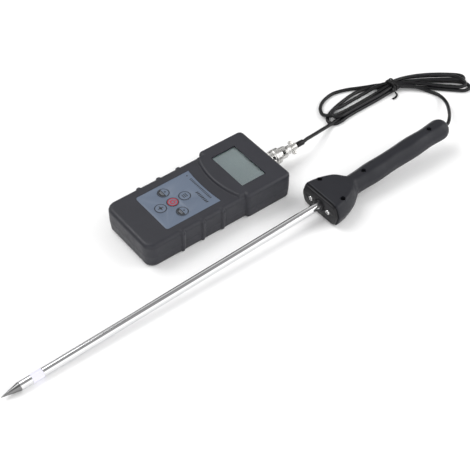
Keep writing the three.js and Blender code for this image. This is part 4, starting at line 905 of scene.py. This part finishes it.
TIE_CENTRE = Vector((254.2, 18.0, 0.0))
TIE_MIDDLE_Z = 4.6


def tie_band(name, offset, lean):
    """A flat ribbon round the cord, as a closed loop."""
    knots = [Vector(p) for p in TIE_PATH]
    count = len(knots)
    path = []
    for i in range(count):
        a, b, c, d = (knots[(i + k - 1) % count] for k in range(4))
        for k in range(6):
            t = k / 6
            path.append(0.5 * (2 * b + (c - a) * t + (2 * a - 5 * b + 4 * c - d) * t * t
                               + (3 * b - 3 * c + d - a) * t ** 3))
    rings = []
    for p in path:
        out = (p - Vector((0, 0, TIE_MIDDLE_Z))).normalized()
        skew = lean * p.y
        rings.append([TIE_CENTRE + p + Vector((offset + skew + dx, 0, 0)) + out * dr
                      for dx, dr in ((-1.1, -0.3), (-1.1, 0.05), (-0.6, 0.3), (0.6, 0.3), (1.1, 0.05),
                                     (1.1, -0.3))])
    return loft(rings, name, closed=True)


def tie_tail(name, points):
    path = smooth_path(points, 8)
    rings = []
    for i, p in enumerate(path):
        ahead = (path[min(i + 1, len(path) - 1)] - path[max(i - 1, 0)]).normalized()
        side = ahead.cross(Vector((0, 0, 1))).normalized()
        up = side.cross(ahead)
        rings.append([p + side * a + up * b for a, b in
                      ((-1.0, -0.22), (-1.0, 0.22), (-0.4, 0.34), (0.4, 0.34), (1.0, 0.22), (1.0, -0.22))])
    return loft(rings, name)


place(tie_band("tie_wrap", -0.6, 0.04), "tie_wrap", "tie_plastic", stands_for=["cord_tie"])
place(tie_band("tie_wrap_2", 1.9, -0.1), "tie_wrap_2", "tie_plastic")
TIE_TAILS = {
    "tie_tail_1": [(250.4, 11.6, 7.2), (250.8, 10, 5.4), (252, 8.6, 2.9), (252, 6.4, 1.6), (248.6, 4.6, 1.3),
                   (244.4, 4.8, 1.3)],
    "tie_tail_2": [(253.6, 13.6, 9.3), (252.6, 17.4, 10.2), (254.6, 21.4, 9.9), (257.6, 22, 9.3),
                   (257.2, 17.8, 9.2)],
}
for name, points in TIE_TAILS.items():
    place(tie_tail(name, points), name, "tie_plastic")

# ------------------------------------------------------------------ light and floor

floor_bm = bmesh.new()
bmesh.ops.create_grid(floor_bm, x_segments=2, y_segments=2, size=6)
floor = to_object(floor_bm, "floor")
floor_look = Nodes("floor")
floor_look.link(floor_look.colour(floor_look.noise(3), (0.96, 0.96, 0.96), (0.98, 0.98, 0.98)),
                floor_look.shader.inputs["Base Color"])
floor_look.set(Roughness=0.9)
floor.data.materials.append(floor_look.material)

world = bpy.data.worlds.new("world")
world.use_nodes = True
sky = world.node_tree
direction = sky.nodes.new("ShaderNodeTexCoord")
axes = sky.nodes.new("ShaderNodeSeparateXYZ")
sky.links.new(direction.outputs["Generated"], axes.inputs[0])


def sky_ramp(steps):
    """Grey by the sine of the height above the horizon."""
    ramp = sky.nodes.new("ShaderNodeValToRGB")
    ramp.color_ramp.elements[0].position, ramp.color_ramp.elements[1].position = steps[0][0], steps[-1][0]
    for position, _ in steps[1:-1]:
        ramp.color_ramp.elements.new(position)
    for element, (_, grey) in zip(ramp.color_ramp.elements, steps):
        element.color = (grey, grey, grey, 1)
    sky.links.new(axes.outputs["Z"], ramp.inputs[0])
    return ramp.outputs[0]


# Metal mirrors the sky: a dark band low on the far side, a dim top, and the large soft light on the near side.
side = sky.nodes.new("ShaderNodeMapRange")
side.inputs["From Min"].default_value, side.inputs["From Max"].default_value = -0.2, 0.2
sky.links.new(axes.outputs["Y"], side.inputs["Value"])
both = sky.nodes.new("ShaderNodeMix")
both.data_type = "RGBA"
sky.links.new(side.outputs["Result"], both.inputs[0])
sky.links.new(sky_ramp([(0.0, 0.75), (0.3, 0.85), (0.6, 0.8), (0.68, 0.78), (0.78, 0.2)]), both.inputs[6])
sky.links.new(sky_ramp([(0.0, 0.02), (0.3, 0.02), (0.42, 0.4), (0.78, 0.4), (0.88, 0.17)]), both.inputs[7])
sky.links.new(both.outputs[2], sky.nodes["Background"].inputs[0])
sky.nodes["Background"].inputs[1].default_value = 1.9
bpy.context.scene.world = world
bpy.context.scene.view_settings.view_transform = "Standard"


def lamp(name, at, aim, size, power):
    data = bpy.data.lights.new(name, "AREA")
    data.shape = "RECTANGLE"
    data.size, data.size_y = size
    data.energy = power
    made = bpy.data.objects.new(name, data)
    made.location = at
    made.rotation_euler = (Vector(aim) - Vector(at)).to_track_quat("-Z", "Y").to_euler()
    bpy.context.scene.collection.objects.link(made)


lamp("key_light", (-0.4, 0.9, 1.5), (0, 0, 0), (1.2, 1.2), 17)
lamp("fill_light", (1.4, -0.8, 1.2), (0.05, 0, 0), (1.0, 1.0), 8)

# ------------------------------------------------------------------ CAD nodes that show as they are

slot_of = {entry["node"]: entry["material_slot"] for entry in frame["record"]["subparts"]}
for name, made in frame["nodes"].items():
    look = looks.get(slot_of[name], looks["inner_plastic"])
    made.data.materials.clear()
    made.data.materials.append(look)
